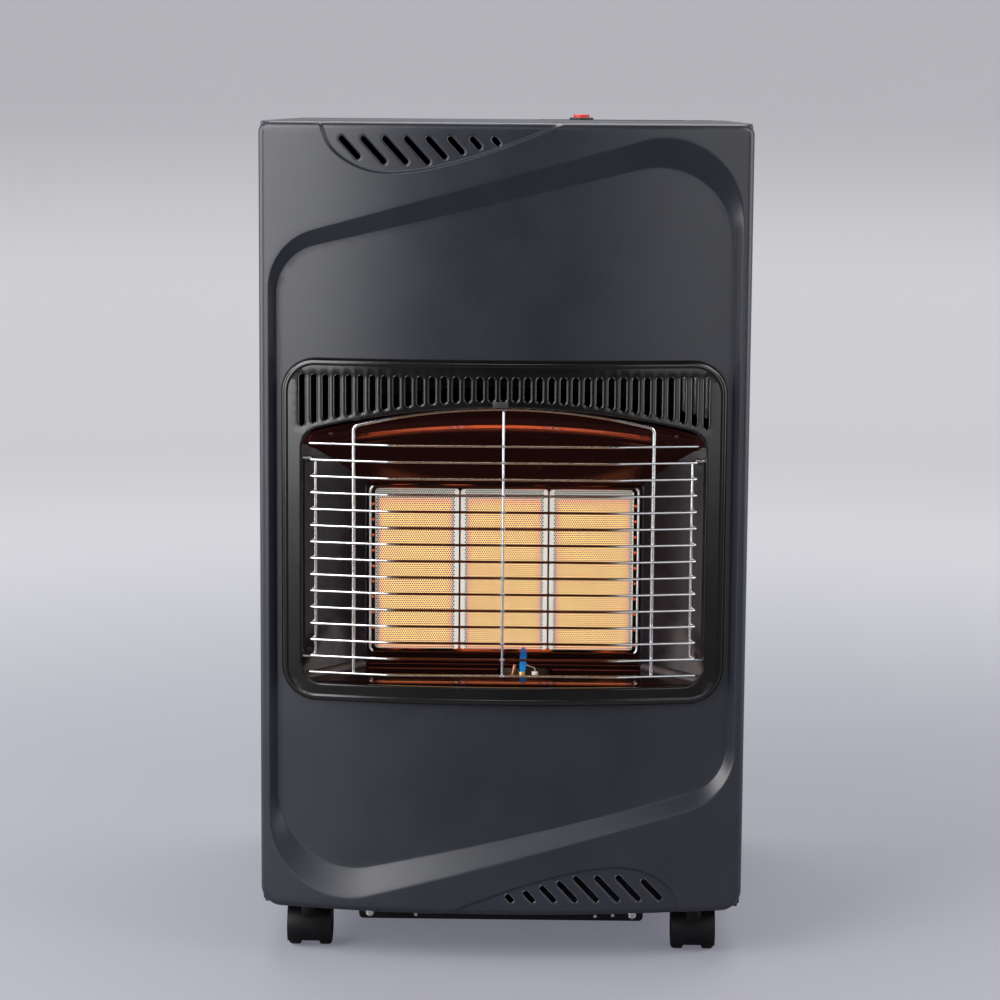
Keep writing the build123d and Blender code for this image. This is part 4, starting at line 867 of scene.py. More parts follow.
def makeFrontPanel():
    v = panelValues
    w = v["halfWidth"]
    radii = [v["footCorner"], v["footCorner"], v["topCorner"], v["topCorner"]]
    rim, *rims = ringed((-w, v["low"]), (w, v["high"]), radii, rollInsets(v["edgeRadius"]))
    border = slantedOutline(v["borderHalf"], v["borderSlope"], v["borderRadii"])
    field = slantedOutline(v["fieldHalf"], v["fieldSlope"], v["fieldRadii"])
    between = []
    for t in v["slopeSteps"]:
        half = tuple(a + (b - a) * t for a, b in zip(v["borderHalf"], v["fieldHalf"]))
        corner = tuple(a + (b - a) * t for a, b in zip(v["borderRadii"], v["fieldRadii"]))
        slope = v["borderSlope"] + (v["fieldSlope"] - v["borderSlope"]) * t
        between.append(slantedOutline(half, slope, corner))
    slots = []
    for number, drop in enumerate(v["ventDrops"]):
        x = v["ventFirst"] + number * v["ventPitch"]
        slots.append(((x, v["ventTop"]), (x + v["ventLean"] * drop, v["ventTop"] - drop)))
    slots += [tuple((-x, 2 * panelMiddle - z) for x, z in slot) for slot in slots]
    ventLoops = [slotOutline(*slot, v["ventHalf"]) for slot in slots]
    ventRings = [slotOutline(*slot, v["ventHalf"] + grow, 9) for slot in slots for grow in (0.45, 1.0, 1.8)]
    leafLine = smoothLine(v["leaf"], 1.8)
    leaves = [leafLine, turnedAbout(leafLine)]
    leafRings = [offsetLine(leaf, -shift) for shift in v["leafShifts"] for leaf in leaves]
    inside = [ring[insideDistance(ring, rim) > 0.5] for ring in leafRings]
    clear = [ring[slotDistance(ring, slots, v["ventHalf"]) > 1.2] for ring in inside]
    window = rectangle(*v["window"], [16] * 4, 0, 5)

    def depthAt(spots):
        depth = rolled(insideDistance(spots, rim), v["edgeRadius"])
        fromBorder, fromField = insideDistance(spots, border), -insideDistance(spots, field)
        share = np.where(fromField <= 0, 1, np.clip(fromBorder, 0, None)
                         / np.maximum(np.clip(fromBorder, 0, None) + fromField, 1e-6))
        depth += v["fieldDepth"] * eased(share, 0.11, 0.05)
        for leaf in leaves:
            depth += v["leafDepth"] * eased(insideDistance(spots, leaf) / v["leafWall"], 0.3, 0.3)
        fromVent = slotDistance(spots, slots, v["ventHalf"])
        return depth + 0.55 * np.clip(1 - fromVent / 1.0, 0, 1.5) ** 2

    def place(spots, depth):
        return stacked(spots[:, 0], bulge(spots[:, 0]) + depth, spots[:, 1])

    panel = pressedSheet("frontPanel", [rim, window, *ventLoops], rims + ventRings + clear, v["spacing"],
                         depthAt, place, [(rim, lambda spots: v["backY"] - bulge(spots[:, 0]))], paint,
                         v["sheet"], 32, [border, *between, field])
    fitted(panel, "front_panel")
    beads = [place(loop, depthAt(loop) - 0.1) for loop in ventLoops]
    # the vents' beads wear a paler copy of the paint, a painted highlight added to the light their round
    # shape catches
    edging = swept("ventRims", beads, v["rimRadius"], 6, cabinetPaint("rimPaint", 1.5))
    fitted(edging)


makeFrontPanel()
print("front panel pressed")


surroundValues = {
    "low": (-191.0, 231.0), "high": (191.0, 528.3), "corner": 30.0, "near": 1.2, "sheet": 1.0,
    "roll": 4.2, "stepAt": 5.4, "stepDepth": 0.5, "lipBack": 6.0, "footBack": 8.0,
    "windowHalf": 173.0, "windowLow": 247.0, "windowSide": 464.2, "windowHigh": 488.2,
    "windowRadii": (18.0, 14.0), "slots": 35, "pitch": 10.13, "slotHalf": 2.9, "slotTop": 514.5,
    "aboveWindow": 5.0, "spacing": 5.0, "rimRadius": 0.42,
}


def windowHead(x, grow=0.0):
    v = surroundValues
    rise = v["windowHigh"] - v["windowSide"]
    radius = (v["windowHalf"] ** 2 + rise**2) / (2 * rise)
    return v["windowHigh"] + grow - radius + math.sqrt(radius**2 - x**2)


def windowOutline(grow=0.0, spacing=3.0):
    v = surroundValues
    half, foot, shoulder = v["windowHalf"] + grow, v["windowLow"] - grow, v["windowSide"] + grow
    low, high = v["windowRadii"][0] + grow, v["windowRadii"][1] + grow
    frameLine = roundedOutline([(-half, foot), (half, foot), (half, shoulder), (-half, shoulder)],
                               [low, low, high, high], spacing)
    head = []
    for x, z in frameLine:
        lift = windowHead(min(abs(x), half - 1.5)) + grow - shoulder
        share = np.clip((z - (shoulder - high * 1.2)) / (high * 1.2), 0, 1)
        head.append((x, z + max(lift, 0) * share))
    return subdivided(flat(head), spacing)


def makeSurround():
    v = surroundValues
    rim, *rims = ringed(v["low"], v["high"], [v["corner"]] * 4,
                        rollInsets(v["roll"]) + [v["stepAt"] + side for side in (-0.5, 0.0, 0.5, 1.2)])
    window = windowOutline()
    windowRings = [windowOutline(grow) for grow in (0.4, 0.9, 1.5, 2.2, 3.2)]
    slots = []
    for number in range(v["slots"]):
        x = (number - (v["slots"] - 1) / 2) * v["pitch"]
        foot = windowHead(min(abs(x), v["windowHalf"])) + v["aboveWindow"]
        slots.append(((x, foot + v["slotHalf"]), (x, v["slotTop"] - v["slotHalf"])))
    loops = [slotOutline(*slot, v["slotHalf"], 11) for slot in slots]
    rings = [slotOutline(*slot, v["slotHalf"] + grow, 11) for slot in slots for grow in (0.5, 1.1)]

    def depthAt(spots):
        fromRim = insideDistance(spots, rim)
        depth = rolled(fromRim, v["roll"])
        depth += v["stepDepth"] * eased((fromRim - v["stepAt"] + 0.5) / 1.0, 0.3, 0.3)
        depth += rolled(-insideDistance(spots, window), 1.5) * 0.9
        return depth + 0.5 * np.clip(1 - slotDistance(spots, slots, v["slotHalf"]) / 1.0, 0, 1.5) ** 2

    def place(spots, depth):
        return stacked(spots[:, 0], bulge(spots[:, 0], v["near"]) + depth, spots[:, 1])

    def behind(back):
        return lambda spots: bulge(spots[:, 0], back) - bulge(spots[:, 0], v["near"])

    walls = [(rim, behind(v["footBack"] - 0.05)), (window, behind(v["lipBack"]))]
    piece = pressedSheet("burnerSurround", [rim, window, *loops], rims + windowRings + rings, v["spacing"],
                         depthAt, place, walls, enamel, v["sheet"], 34)
    fitted(piece, "burner_surround")
    beads = [place(loop, depthAt(loop) - 0.08) for loop in loops]
    fitted(swept("slotRims", beads, v["rimRadius"], 6, enamel))


makeSurround()
print("burner surround pressed")


fireboxValues = {
    "halfBack": 119.5, "halfFront": 176.0, "backY": -147.0, "bendY": -201.0, "frontGap": 6.5,
    "roofBack": 412.2, "roofSlope": 1.155, "archBack": 0.5, "archFront": 41.0,
    "fold": (-195.0, 5.0, 0.62, 2.4, 1.9),  # where it starts, its length and slope, then the return
    "riserTop": 261.0, "floorBack": 250.6, "floorFront": 247.2, "rollY": -201.5, "rollRadius": 11.0,
    "cutOut": (-5.5, 44.0, -151.0), "cutCorner": 12.0, "sheet": 0.8, "overlap": 0.6,
    "archRun": 83.0, "archHalf": 210.0,  # the arch grows over this depth, and holds at this half width
}


def sideX(y):
    v = fireboxValues
    share = min(max((y - v["backY"]) / (v["bendY"] - v["backY"]), 0), 1)
    return v["halfBack"] + (v["halfFront"] - v["halfBack"]) * share


def archDrop(x, y):  # how far the roof falls towards its sides
    v = fireboxValues
    drop = v["archBack"] + (v["archFront"] - v["archBack"]) * (v["backY"] - y) / v["archRun"]
    return drop * (x / v["archHalf"]) ** 2


def makeRoof():
    v = fireboxValues
    start, length, slope, returnLength, returnSlope = v["fold"]
    profile = [(v["backY"], v["roofBack"])]
    y, z = profile[0]
    marks = [(start + 1.2, v["roofSlope"], 9), (start, v["roofSlope"], 2), (start - length, slope, 8),
             (start - length - returnLength, returnSlope, 5), (-229.0, v["roofSlope"], 8)]
    for goal, rate, steps in marks:
        first = (y, z)
        for k in range(1, steps + 1):
            y = first[0] + (goal - first[0]) * k / steps
            z = first[1] + (first[0] - y) * rate
            profile.append((y, z))
    heights = np.array([p[1] for p in profile])
    heights[1:-1] = heights[1:-1] * 0.5 + (heights[:-2] + heights[2:]) * 0.25  # folds are a little soft
    rows = []
    for (y, _), z in zip(profile, heights):
        across = np.linspace(-1, 1, 49) * (sideX(y) + v["overlap"])
        rows.append([(x, max(y, float(bulge(x, v["frontGap"]))), z - archDrop(x, y)) for x in across])
    points, faces = loftedRows(rows)
    roof = pieceFrom("upperReflector", points, [f[::-1] for f in faces], roofSteel)
    thickened(outwards(roof, (0, -0.19, 0.3)), v["sheet"], 50)
    paintedShadeBack(roof)
    fitted(roof, "reflector_upper")


def paintedShadeBack(piece):  # the side away from the fire turns black, painted shade where it shows through the slots
    piece.data.materials.append(paintedShadeEnamel)
    for face in piece.data.polygons:
        if face.normal.z > 0.15:
            face.material_index = 1


def makeFloor():
    v = fireboxValues
    profile = [(v["backY"], v["riserTop"]), (v["backY"], 256), (v["backY"] - 0.1, 252.5),
               (v["backY"] - 0.6, 251.3), (v["backY"] - 1.6, 250.7), (v["backY"] - 3, v["floorBack"])]
    run = v["rollY"] - profile[-1][0]
    for k in range(1, 13):
        y = profile[-1][0] + (v["rollY"] - profile[-1][0]) * (1 / (13 - k))
        share = (y - (v["backY"] - 3)) / run
        profile.append((y, v["floorBack"] + (v["floorFront"] - v["floorBack"]) * share))
    for k in range(1, 9):
        tilt = math.radians(48 * k / 8)
        profile.append((v["rollY"] - v["rollRadius"] * math.sin(tilt),
                        v["floorFront"] - v["rollRadius"] * (1 - math.cos(tilt))))
    rows = []
    for y, z in profile:
        across = np.linspace(-1, 1, 41) * (sideX(y) + v["overlap"])
        rows.append([(x, max(y, float(bulge(x, v["frontGap"] + 1.5))), z) for x in across])
    floorPiece = outwards(pieceFrom("lowerReflector", *loftedRows(rows), floorSteel), (0, -0.19, 0.35))
    cutter = pieceFrom("cutter", *cutShape(), None)
    thickened(floorPiece, v["sheet"], 50)
    cut = floorPiece.modifiers.new("cutOut", "BOOLEAN")
    cut.object, cut.operation, cut.solver = cutter, "DIFFERENCE", "EXACT"
    settled(floorPiece, 50)
    bpy.data.objects.remove(cutter)
    fitted(floorPiece, "reflector_lower")


def cutShape():  # the pilot's cut-out, open in the floor and rounded at its back
    low, high, depth = fireboxValues["cutOut"]
    corner = fireboxValues["cutCorner"]
    front = [(low, -178), (high, -178)]
    for centre, first in ((high - corner, 0.0), (low + corner, math.pi / 2)):
        front += [(centre + corner * math.cos(first + turn), depth - corner + corner * math.sin(first + turn))
                  for turn in np.linspace(0, math.pi / 2, 9)]
    return loftedRows([[(x, y, z) for x, y in front] for z in (238, 262)], True, True)


foldValues = {"radius": 4.2, "fromY": -153.0, "toY": -200.0, "rivets": ((148, -203.0), (118, -198.0)),
              "rivet": (2.0, 0.8), "holes": ((168.0, 440.0), (168.0, 271.8)),
              "hole": ((0, 0.12), (3.0, 0.12), (3.2, 0), (3.2, -0.3), (0, -0.3))}


def makeFolds():  # rounded folds where the side reflectors meet the floor, in a paler enamel that is a painted highlight, rivets, and black discs at the guard's holes, painted shade
    v, f = foldValues, fireboxValues
    lines = []
    for sign in (-1, 1):
        line = []
        for y in np.linspace(v["fromY"], v["toY"], 10):
            share = (y - f["backY"]) / (f["rollY"] - f["backY"])
            z = f["floorBack"] + (f["floorFront"] - f["floorBack"]) * share
            line.append((sign * (sideX(y) - v["radius"] * 0.5), y, z + v["radius"] * 0.35))
        lines.append(line)
    folds = swept("sideFolds", lines, v["radius"], 20, foldEnamel, False, 60)
    fitted(folds)
    rivet = tidied(pieceFrom("rivet", *dome(*v["rivet"]), None))
    spots = []
    for x, y in v["rivets"]:
        z = f["roofBack"] + (f["backY"] - y) * f["roofSlope"] - archDrop(x, y)
        spots += [(sign * x, y - 0.4, z - 0.5) for sign in (-1, 1)]
    rivets = copies("roofRivets", rivet, spots, pilotSteel)
    bpy.data.objects.remove(rivet)
    fitted(rivets)
    deep, wide = f["backY"] - f["bendY"], f["halfFront"] - f["halfBack"]
    for sign in (-1, 1):
        for x, z in v["holes"]:
            y = f["backY"] - (x - f["halfBack"]) * deep / wide
            hole = turnedPart("guardHole", v["hole"], (sign * x, y, z), (-sign * deep, -wide, 0),
                              paintedShadeEnamel, 24)
            fitted(hole)


makeRoof()
makeFloor()
for side in ("left", "right"):
    refinished("reflector_" + side, sideEnamel)
makeFolds()
print("reflectors folded")


honeycombValues = {
    "columns": 35, "rows": 84, "pitch": 1.966, "rowPitch": 1.6985, "hole": 0.77, "throat": 1.3,
    "recess": 0.12, "size": (76.9, 147.0, 13.0), "edge": 0.4, "pocket": (35.2, 71.8, 1.5),
}


def makeCell(v, plain=False):  # one hexagon, open at its outer edge, with its hole unless it is plain
    radii = (v["pitch"] / math.sqrt(3), v["hole"] + 0.08, v["hole"], v["hole"])
    rows = []
    for radius, depth in zip(radii, (0.0, 0.0, 0.14, v["throat"])):
        turns = [math.pi / 6 + math.pi / 3 * k for k in range(6)]
        rows.append([(radius * math.cos(turn), depth, radius * math.sin(turn)) for turn in turns])
    return pieceFrom("cell", *((rows[0], [tuple(range(6))]) if plain else loftedRows(rows, True)), None)


def makePlaques():
    v, p = honeycombValues, plaqueValues
    cell, plainCell = makeCell(v), makeCell(v, True)
    width, height, thick = v["size"]
    across, up = (v["columns"] + 1) / 2 * v["pitch"], (v["rows"] + 1) / 2 * v["rowPitch"]
    patches = [(cell, v["columns"], v["rows"], 0, 0)]  # the holes, then plain cells all round them
    patches += [(plainCell, 1, v["rows"], sign * across, 0) for sign in (-1, 1)]
    patches += [(plainCell, v["columns"] + 2, 1, (1 - sign) / 4 * v["pitch"], sign * up) for sign in (-1, 1)]
    w, h, front = width / 2, height / 2, p["faceY"]
    pw, ph, pocket = v["pocket"]
    loops = ((w, h, front + thick), (w, h, front + v["edge"]), (w - v["edge"], h - v["edge"], front),
             (pw, ph, front), (pw, ph, front + pocket))
    for side, x in (("left", -p["pitch"]), ("centre", 0.0), ("right", p["pitch"])):
        name = "plaque" + side.capitalize()
        sheets = []
        for part, columns, rows, right, rise in patches:
            spot = (x + right, p["faceY"] + v["recess"], p["middleZ"] + rise)
            sheet = grown(name + "Face", honeycomb, [(0, 0, 0)], [], {
                "Cell": part, "Columns": columns, "Rows": rows, "Pitch": v["pitch"] * mm,
                "Row Pitch": v["rowPitch"] * mm, "Material": plaqueGlow,
                "Centre": tuple(c * mm for c in spot)})
            sheets.append(outwards(sheet, (0, -3, 0.33)))
        face = joined(name + "Face", sheets)
        rows = [[(x + i * a, y, p["middleZ"] + j * b) for i, j in ((-1, -1), (1, -1), (1, 1), (-1, 1))]
                for a, b, y in loops]
        body = tidied(pieceFrom(name + "Body", *loftedRows(rows, True, True), plaqueGlow))
        tile = shaded(joined(name, [body, face]), 30)
        fitted(tile, "plaque_" + side)
    bpy.data.objects.remove(cell)
    bpy.data.objects.remove(plainCell)


def copied(node, name, finish):  # a solid's mesh as a piece of its own, merged
    def change(work):
        bmesh.ops.remove_doubles(work, verts=work.verts, dist=2e-6)
        for face in work.faces:
            face.material_index = 0

    piece = linked(name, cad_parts[node].data.copy())
    piece.data.materials.clear()
    piece.data.materials.append(finish)
    return reworked(piece, change)


def softened(node, name, finish, width, body="cabinet", segments=2, limit=40):
    def change(work):  # flat neighbours become one face, so that only real edges are rounded
        bmesh.ops.dissolve_limit(work, angle_limit=math.radians(0.5), verts=work.verts, edges=work.edges)

    piece = reworked(copied(node, name, finish), change)
    soft = piece.modifiers.new("soft", "BEVEL")
    soft.width, soft.segments, soft.limit_method = width * mm, segments, "ANGLE"
    soft.angle_limit, soft.harden_normals = math.radians(limit), False
    return fitted(settled(piece, 35), node, body)


frameValues = {
    "half": 118.4, "low": 262.1, "high": 411.0, "corner": 5.0, "frontY": -149.0, "backY": -131.5,
    "sheet": 0.7, "roll": 1.4, "openHalf": 113.4, "openZ": (266.0, 408.6), "beadRadius": 1.25,
    "dentX": 115.0, "dentZ": (270.6, 394.6, 10), "dent": (1.25, 0.7), "gapX": 39.0, "tab": (2.1, 2.2),
}


def makeBurnerFrame():
    v = frameValues
    low, high, corners = (-v["half"], v["low"]), (v["half"], v["high"]), [v["corner"]] * 4
    rim, *rims = ringed(low, high, corners, rollInsets(v["roll"], 4))
    opening = rectangle((-v["openHalf"], v["openZ"][0]), (v["openHalf"], v["openZ"][1]), [3] * 4)
    flange = pressedSheet(
        "burnerFrame", [rim, opening], rims, 3.5, lambda spots: rolled(insideDistance(spots, rim), v["roll"]),
        lambda spots, depth: stacked(spots[:, 0], v["frontY"] + depth, spots[:, 1]),
        [(rim, v["backY"] - v["frontY"])], frameFlange, v["sheet"], 40)
    tabs = []
    wide, tall = v["tab"]
    for x in (-v["gapX"], v["gapX"]):
        for edge, way in ((v["openZ"][0], 1), (v["openZ"][1], -1)):
            corners = [(x - wide, edge - way), (x + wide, edge - way), (x + wide, edge),
                       (x, edge + way * tall), (x - wide, edge)]
            rows = [[(a, y, b) for a, b in corners] for y in (v["frontY"] + 0.05, v["frontY"] + 0.6)]
            tabs.append(tidied(pieceFrom("tab", *loftedRows(rows, True, True), frameFlange)))
    fitted(joined("burnerFrame", [flange, *tabs]), "burner_frame")

    line = rectangle(low, high, [v["corner"]] * 4, v["beadRadius"] * 0.6, 2)
    bead = swept("frameRim", [[(x, v["frontY"] + 0.35, z) for x, z in line]], v["beadRadius"], 12, frameRim,
                 True, 60)
    fitted(bead)

    dent = tidied(pieceFrom("dent", *dome(*v["dent"]), None))
    spots = [(sign * v["dentX"], v["frontY"] + 0.1, z) for sign in (-1, 1) for z in np.linspace(*v["dentZ"])]
    dents = copies("frameDents", dent, spots, frameDent)
    bpy.data.objects.remove(dent)
    fitted(dents)


makePlaques()
makeBurnerFrame()
print("plaques perforated")


guardValues = {
    "count": 15, "low": 256.4, "high": 455.0, "frontY": -223.0, "bendX": 97.0, "bend": 30.0,
    "end": (166.0, -210.0), "hook": (162.5, -201.25), "hookBend": 2.5, "radius": 1.15, "sides": 12,
    "uprightRadius": 1.5, "upright": (162.0, -199.0), "uprightZ": (268.0, 441.0), "uprightArm": 13.0,
    "archX": 128.0, "archY": -214.4, "archZ": (255.0, 470.5, 486.0), "archCorner": 5.0, "middleY": -220.4,
}


def mirroredPath(half, radii, steps=6):  # a path that is the same on both sides of the middle
    left = [(-x, y, z) for x, y, z in reversed(half)]
    return filletedPath(left + list(half), list(reversed(radii)) + list(radii), steps)


def makeGuard():
    v = guardValues
    pitch = (v["high"] - v["low"]) / (v["count"] - 1)
    bend = [(v["bendX"], v["frontY"], 0), (*v["end"], 0)]
    hooked = mirroredPath(bend + [(*v["hook"], 0)], [v["bend"], v["hookBend"]])
    plain = mirroredPath(bend, [v["bend"]])
    parts = []
    for name, path, count, start, offset in (
            ("hookedWires", hooked, v["count"] - 2, v["low"] + pitch, pitch),
            ("endWires", plain, 2, v["low"], v["high"] - v["low"])):
        parts.append(grown(name, wireLadder, *loopsOf([path], closed=False), {
            "Radius": v["radius"] * mm, "Sides": v["sides"], "Count": count, "Material": plated,
            "Start": (0, 0, start * mm), "Pitch": (0, 0, offset * mm)}))
    wires = shaded(joined("guardWires", parts), 50)
    fitted(wires, "guard_wires")

    x, y = v["upright"]
    low, high = v["uprightZ"]
    lines = []
    for sign in (-1, 1):
        corners = [(sign * across, y, z) for across, z in
                   ((x + v["uprightArm"], low), (x, low), (x, high), (x + v["uprightArm"], high))]
        lines.append(filletedPath(corners, [4, 4], 8))
    sides = swept("sideUprights", lines, v["uprightRadius"], 16, plated, False)
    foot, shoulder, crown = v["archZ"]
    middle = filletedPath([(0, v["middleY"], v["low"] - 1.5), (0, v["middleY"], crown),
                           (0, v["archY"] - v["uprightRadius"], crown)], [3], 8)
    centre = swept("middleUpright", [middle], v["radius"], 12, plated, False)
    uprights = shaded(joined("guardUprights", [sides, centre]), 50)
    fitted(uprights, "guard_uprights")

    rise = crown - shoulder
    radius = (v["archX"] ** 2 + rise**2) / (2 * rise)
    head = []
    for u in np.linspace(-1, 1, 41):
        across = u * v["archX"]
        head.append((across, v["archY"], crown - radius + math.sqrt(radius**2 - across**2)))
    arch = [(-v["archX"], v["archY"], foot), *cornered(head, v["archCorner"]), (v["archX"], v["archY"], foot)]
    bent = swept("guardArch", [arch], v["uprightRadius"], 16, plated, False, 50)
    fitted(bent, "guard_arch")


def cornered(head, radius):  # the arch's two ends bent down round a small radius
    first, last = Vector(head[0]), Vector(head[-1])
    left = filletedPath([first - Vector((0, 0, 40)), first, Vector(head[4])], [radius], 8)[1:-1]
    right = filletedPath([Vector(head[-5]), last, last - Vector((0, 0, 40))], [radius], 8)[1:-1]
    return [tuple(p) for p in left] + list(head[4:-4]) + [tuple(p) for p in right]


makeGuard()
print("guard bent")


pilotValues = {"x": 16.5, "y": -165.0, "tip": 249.4, "flameHeight": 23.0, "flameRadius": 2.9}


def makePilot():
    v = pilotValues
    softened("pilot_bracket", "pilotBracket", pilotSteel, 0.25)
    softened("pilot_burner", "pilotBurner", brass, 0.2)
    profile = []
    for k in range(13):
        t = k / 12
        swell = min(1.0, 0.62 + t * 2) * (1 - max(t - 0.72, 0) ** 2 * 9)
        profile.append((max(v["flameRadius"] * swell, 0.0) if t < 1 else 0.0, t * v["flameHeight"]))
    flame = turnedPart("pilotFlame", profile, (v["x"] + 0.6, v["y"], v["tip"] - 0.5), (0.05, 0, 1),
                       flameFinish(), 24, 80)
    fitted(flame)


makePilot()
print("pilot lit")


caseValues = {
    "sheet": 0.7, "angle": 32, "sideX": 209.3, "sideY": (-187.5, 206.0), "sideZ": (47.6, 726.5),
    "sideWall": 12.0, "topZ": 728.0, "topX": 209.3, "topWalls": (2.8, 13.0), "consoleX": 110.0,
    "consoleY": 158.0, "console": (169.0, 79.0), "consoleCorner": 9.3, "consoleGap": 0.3,
}


def makePlate(name, node, low, high, corners, roll, holes, spacing, place, wall):
    # a flat cabinet sheet, its edge rolled over and turned back all round
    rim, *rims = ringed(low, high, corners, rollInsets(*roll), 8)
    piece = pressedSheet(
        name, [rim, *holes], rims, spacing, lambda spots: rolled(insideDistance(spots, rim), roll[0]), place,
        [(rim, wall)], paint, caseValues["sheet"], caseValues["angle"])
    fitted(piece, node)


def makeSides():
    v = caseValues
    for side, sign in (("left", -1), ("right", 1)):
        low, high = zip(sorted(sign * y for y in v["sideY"]), v["sideZ"])
        makePlate(side + "SidePanel", side + "_side_panel", low, high, [3] * 4, (1.6, 4), [], 14,
                  lambda spots, depth: stacked(sign * (v["sideX"] - depth), sign * spots[:, 0], spots[:, 1]),
                  v["sideWall"])


def makeTop():
    v = caseValues
    w, h = (size / 2 + v["consoleGap"] for size in v["console"])
    x, y = v["consoleX"], v["consoleY"]
    hole = rectangle((x - w, y - h), (x + w, y + h), [v["consoleCorner"]] * 4)

    def wall(spots):  # short at the sides, where the side panels stand under the top
        return np.where(np.abs(spots[:, 0]) > v["topX"] - 0.5, *v["topWalls"])

    makePlate("topPanel", "top_panel", (-v["topX"], v["sideY"][0]), (v["topX"], v["sideY"][1]), [3, 3, 5, 5],
              (2.2, 5), [hole], 12,
              lambda spots, depth: stacked(spots[:, 0], spots[:, 1], v["topZ"] - depth), wall)


coverValues = {
    "halfWidth": 206.0, "foot": 49.0, "head": 722.0, "back": 230.0, "front": 206.6, "radius": 10.0,
    "sheet": 0.8, "corners": (2.5, 2.5, 4.0, 4.0), "rib": 34.0, "ribDepth": 1.6, "ventZ": (130.0, 600.0),
    "ventHalf": 3.0, "ventRun": 32.0, "ventX": 90.0, "ventPitch": 16.0, "rimRadius": 0.5,
    "tabZ": (180.0, 600.0), "tabs": ((196.6, 205.4, 206.6, 207.4), (196.6, 197.4, 194.6, 207.4)),
}


def makeRearCover():
    v = coverValues
    low, high, corners = (-v["halfWidth"], v["foot"]), (v["halfWidth"], v["head"]), v["corners"]
    rim, *rims = ringed(low, high, corners, rollInsets(v["radius"], 7), 8)
    panelRim = rectangle(low, high, corners, v["rib"], 6)
    ribRings = [rectangle(low, high, [14] * 4, v["rib"] + side, 6) for side in (-3, -1.5, 0, 1.5, 3)]
    slots = [[(end + column * v["ventX"], z + row * v["ventPitch"]) for end in (-v["ventRun"], v["ventRun"])]
             for z in v["ventZ"] for column in (-1, 0, 1) for row in (-2, -1, 0, 1, 2)]
    loops = [slotOutline(*slot, v["ventHalf"], 6) for slot in slots]
    rings = [slotOutline(*slot, v["ventHalf"] + grow, 7) for slot in slots for grow in (0.6, 1.4)]

    def depthAt(spots):
        depth = rolled(insideDistance(spots, rim), v["radius"])
        depth += v["ribDepth"] * eased((insideDistance(spots, panelRim) + 3) / 6, 0.3, 0.3)
        return depth + 0.5 * np.clip(1 - slotDistance(spots, slots, v["ventHalf"]) / 1.2, 0, 1.5) ** 2

    def place(spots, depth):
        return stacked(-spots[:, 0], v["back"] - depth, spots[:, 1])

    piece = pressedSheet("rearCover", [rim, *loops], rims + ribRings + rings, 11, depthAt, place,
                         [(rim, v["back"] - v["front"])], paint, v["sheet"], 32)
    tabs = []
    for sign in (-1, 1):
        for z in v["tabZ"]:
            for x0, x1, y0, y1 in v["tabs"]:
                xs = sorted((sign * x0, sign * x1))
                tabs.append(blockPiece("tab", (xs[0], y0, z - 10), (xs[1], y1, z + 10), innerSteel))
    fitted(joined("rearCover", [piece, *tabs]), "rear_cover", "rear_cover")
    beads = [place(loop, depthAt(loop) - 0.1) for loop in loops]
    fitted(swept("coverVentRims", beads, v["rimRadius"], 6, paint), body="rear_cover")


def blockPiece(name, low, high, finish, soft=0.15):  # small plate with softened edges
    (x0, y0, z0), (x1, y1, z1) = low, high
    rows = [[(x0, y0, z), (x1, y0, z), (x1, y1, z), (x0, y1, z)] for z in (z0, z1)]
    piece = pieceFrom(name, *loftedRows(rows, True, True), finish)
    edge = piece.modifiers.new("soft", "BEVEL")
    edge.width, edge.segments = soft * mm, 2
    return settled(piece, 40)


clipValues = {"low": (-9.2, -229.4, 488.5), "high": (4.0, -228.7, 493.4)}


def makeClip():  # small plate between the middle slots and the window
    clip = blockPiece("surroundClip", clipValues["low"], clipValues["high"],
                      blackEnamel("clipEnamel", (0.030, 0.026, 0.030), 0.4))
    fitted(clip)


makeSides()
makeTop()
makeRearCover()
makeClip()
print("cabinet closed")


controlValues = {
    "axis": (138.0, 158.0), "plateZ": 728.2, "numberAt": 36.5, "numberSize": 5.2, "flattened": 0.98,
    "marks": (("0", 150), ("1", 90), ("2", 30), ("3", -30)), "dots": (0, 60, 120), "dot": (0.7, 0.5),
    "pointerFrom": (-19, -0.7, 724.2), "pointerTo": (-6, 0.7, 724.62),
}


def markPiece(name, words, centre, size, finish):  # a plain number lying on the console
    curve = bpy.data.curves.new(name, "FONT")
    curve.body, curve.size, curve.align_x, curve.align_y = words, size * mm, "CENTER", "CENTER"
    curve.extrude, curve.resolution_u = 0.06 * mm, 3
    words = linked(name, curve)
    mesh = finalMesh(words)
    bpy.data.objects.remove(words)
    mesh.transform(Matrix.Translation(Vector(centre) * mm))
    mesh.materials.clear()
    mesh.materials.append(finish)
    return tidied(linked(name, mesh))


def makeControls():
    v = controlValues
    softened("control_console", "controlConsole", consolePlastic, 0.5)
    softened("control_knob", "controlKnob", knobPlastic, 0.5, "knob")
    softened("piezo_igniter", "sparkUnit", consolePlastic, 0.3)
    softened("piezo_button", "sparkButton", buttonRed, 0.5, "piezo_button", 3)
    x, y = v["axis"]

    def around(degrees, height, squash=1.0):
        turn = math.radians(degrees)
        return x + v["numberAt"] * math.cos(turn), y + v["numberAt"] * math.sin(turn) * squash, height

    marks = [markPiece("mark" + words, words, around(degrees, v["plateZ"] + 0.03, v["flattened"]),
                       v["numberSize"], markWhite) for words, degrees in v["marks"]]
    points, faces = dome(*v["dot"])
    dot = tidied(pieceFrom("dot", [(p[0], p[2], -p[1] * 0.2) for p in points], faces, None))
    spots = [around(degrees, v["plateZ"] - 0.05) for degrees in v["dots"]]
    marks.append(copies("scaleDots", dot, spots, markWhite))
    bpy.data.objects.remove(dot)
    fitted(joined("dialMarks", marks))
    low, high = ((x + across, y + deep, z) for across, deep, z in (v["pointerFrom"], v["pointerTo"]))
    fitted(blockPiece("knobPointer", low, high, markWhite, 0.1), body="knob")


makeControls()
print("controls set")


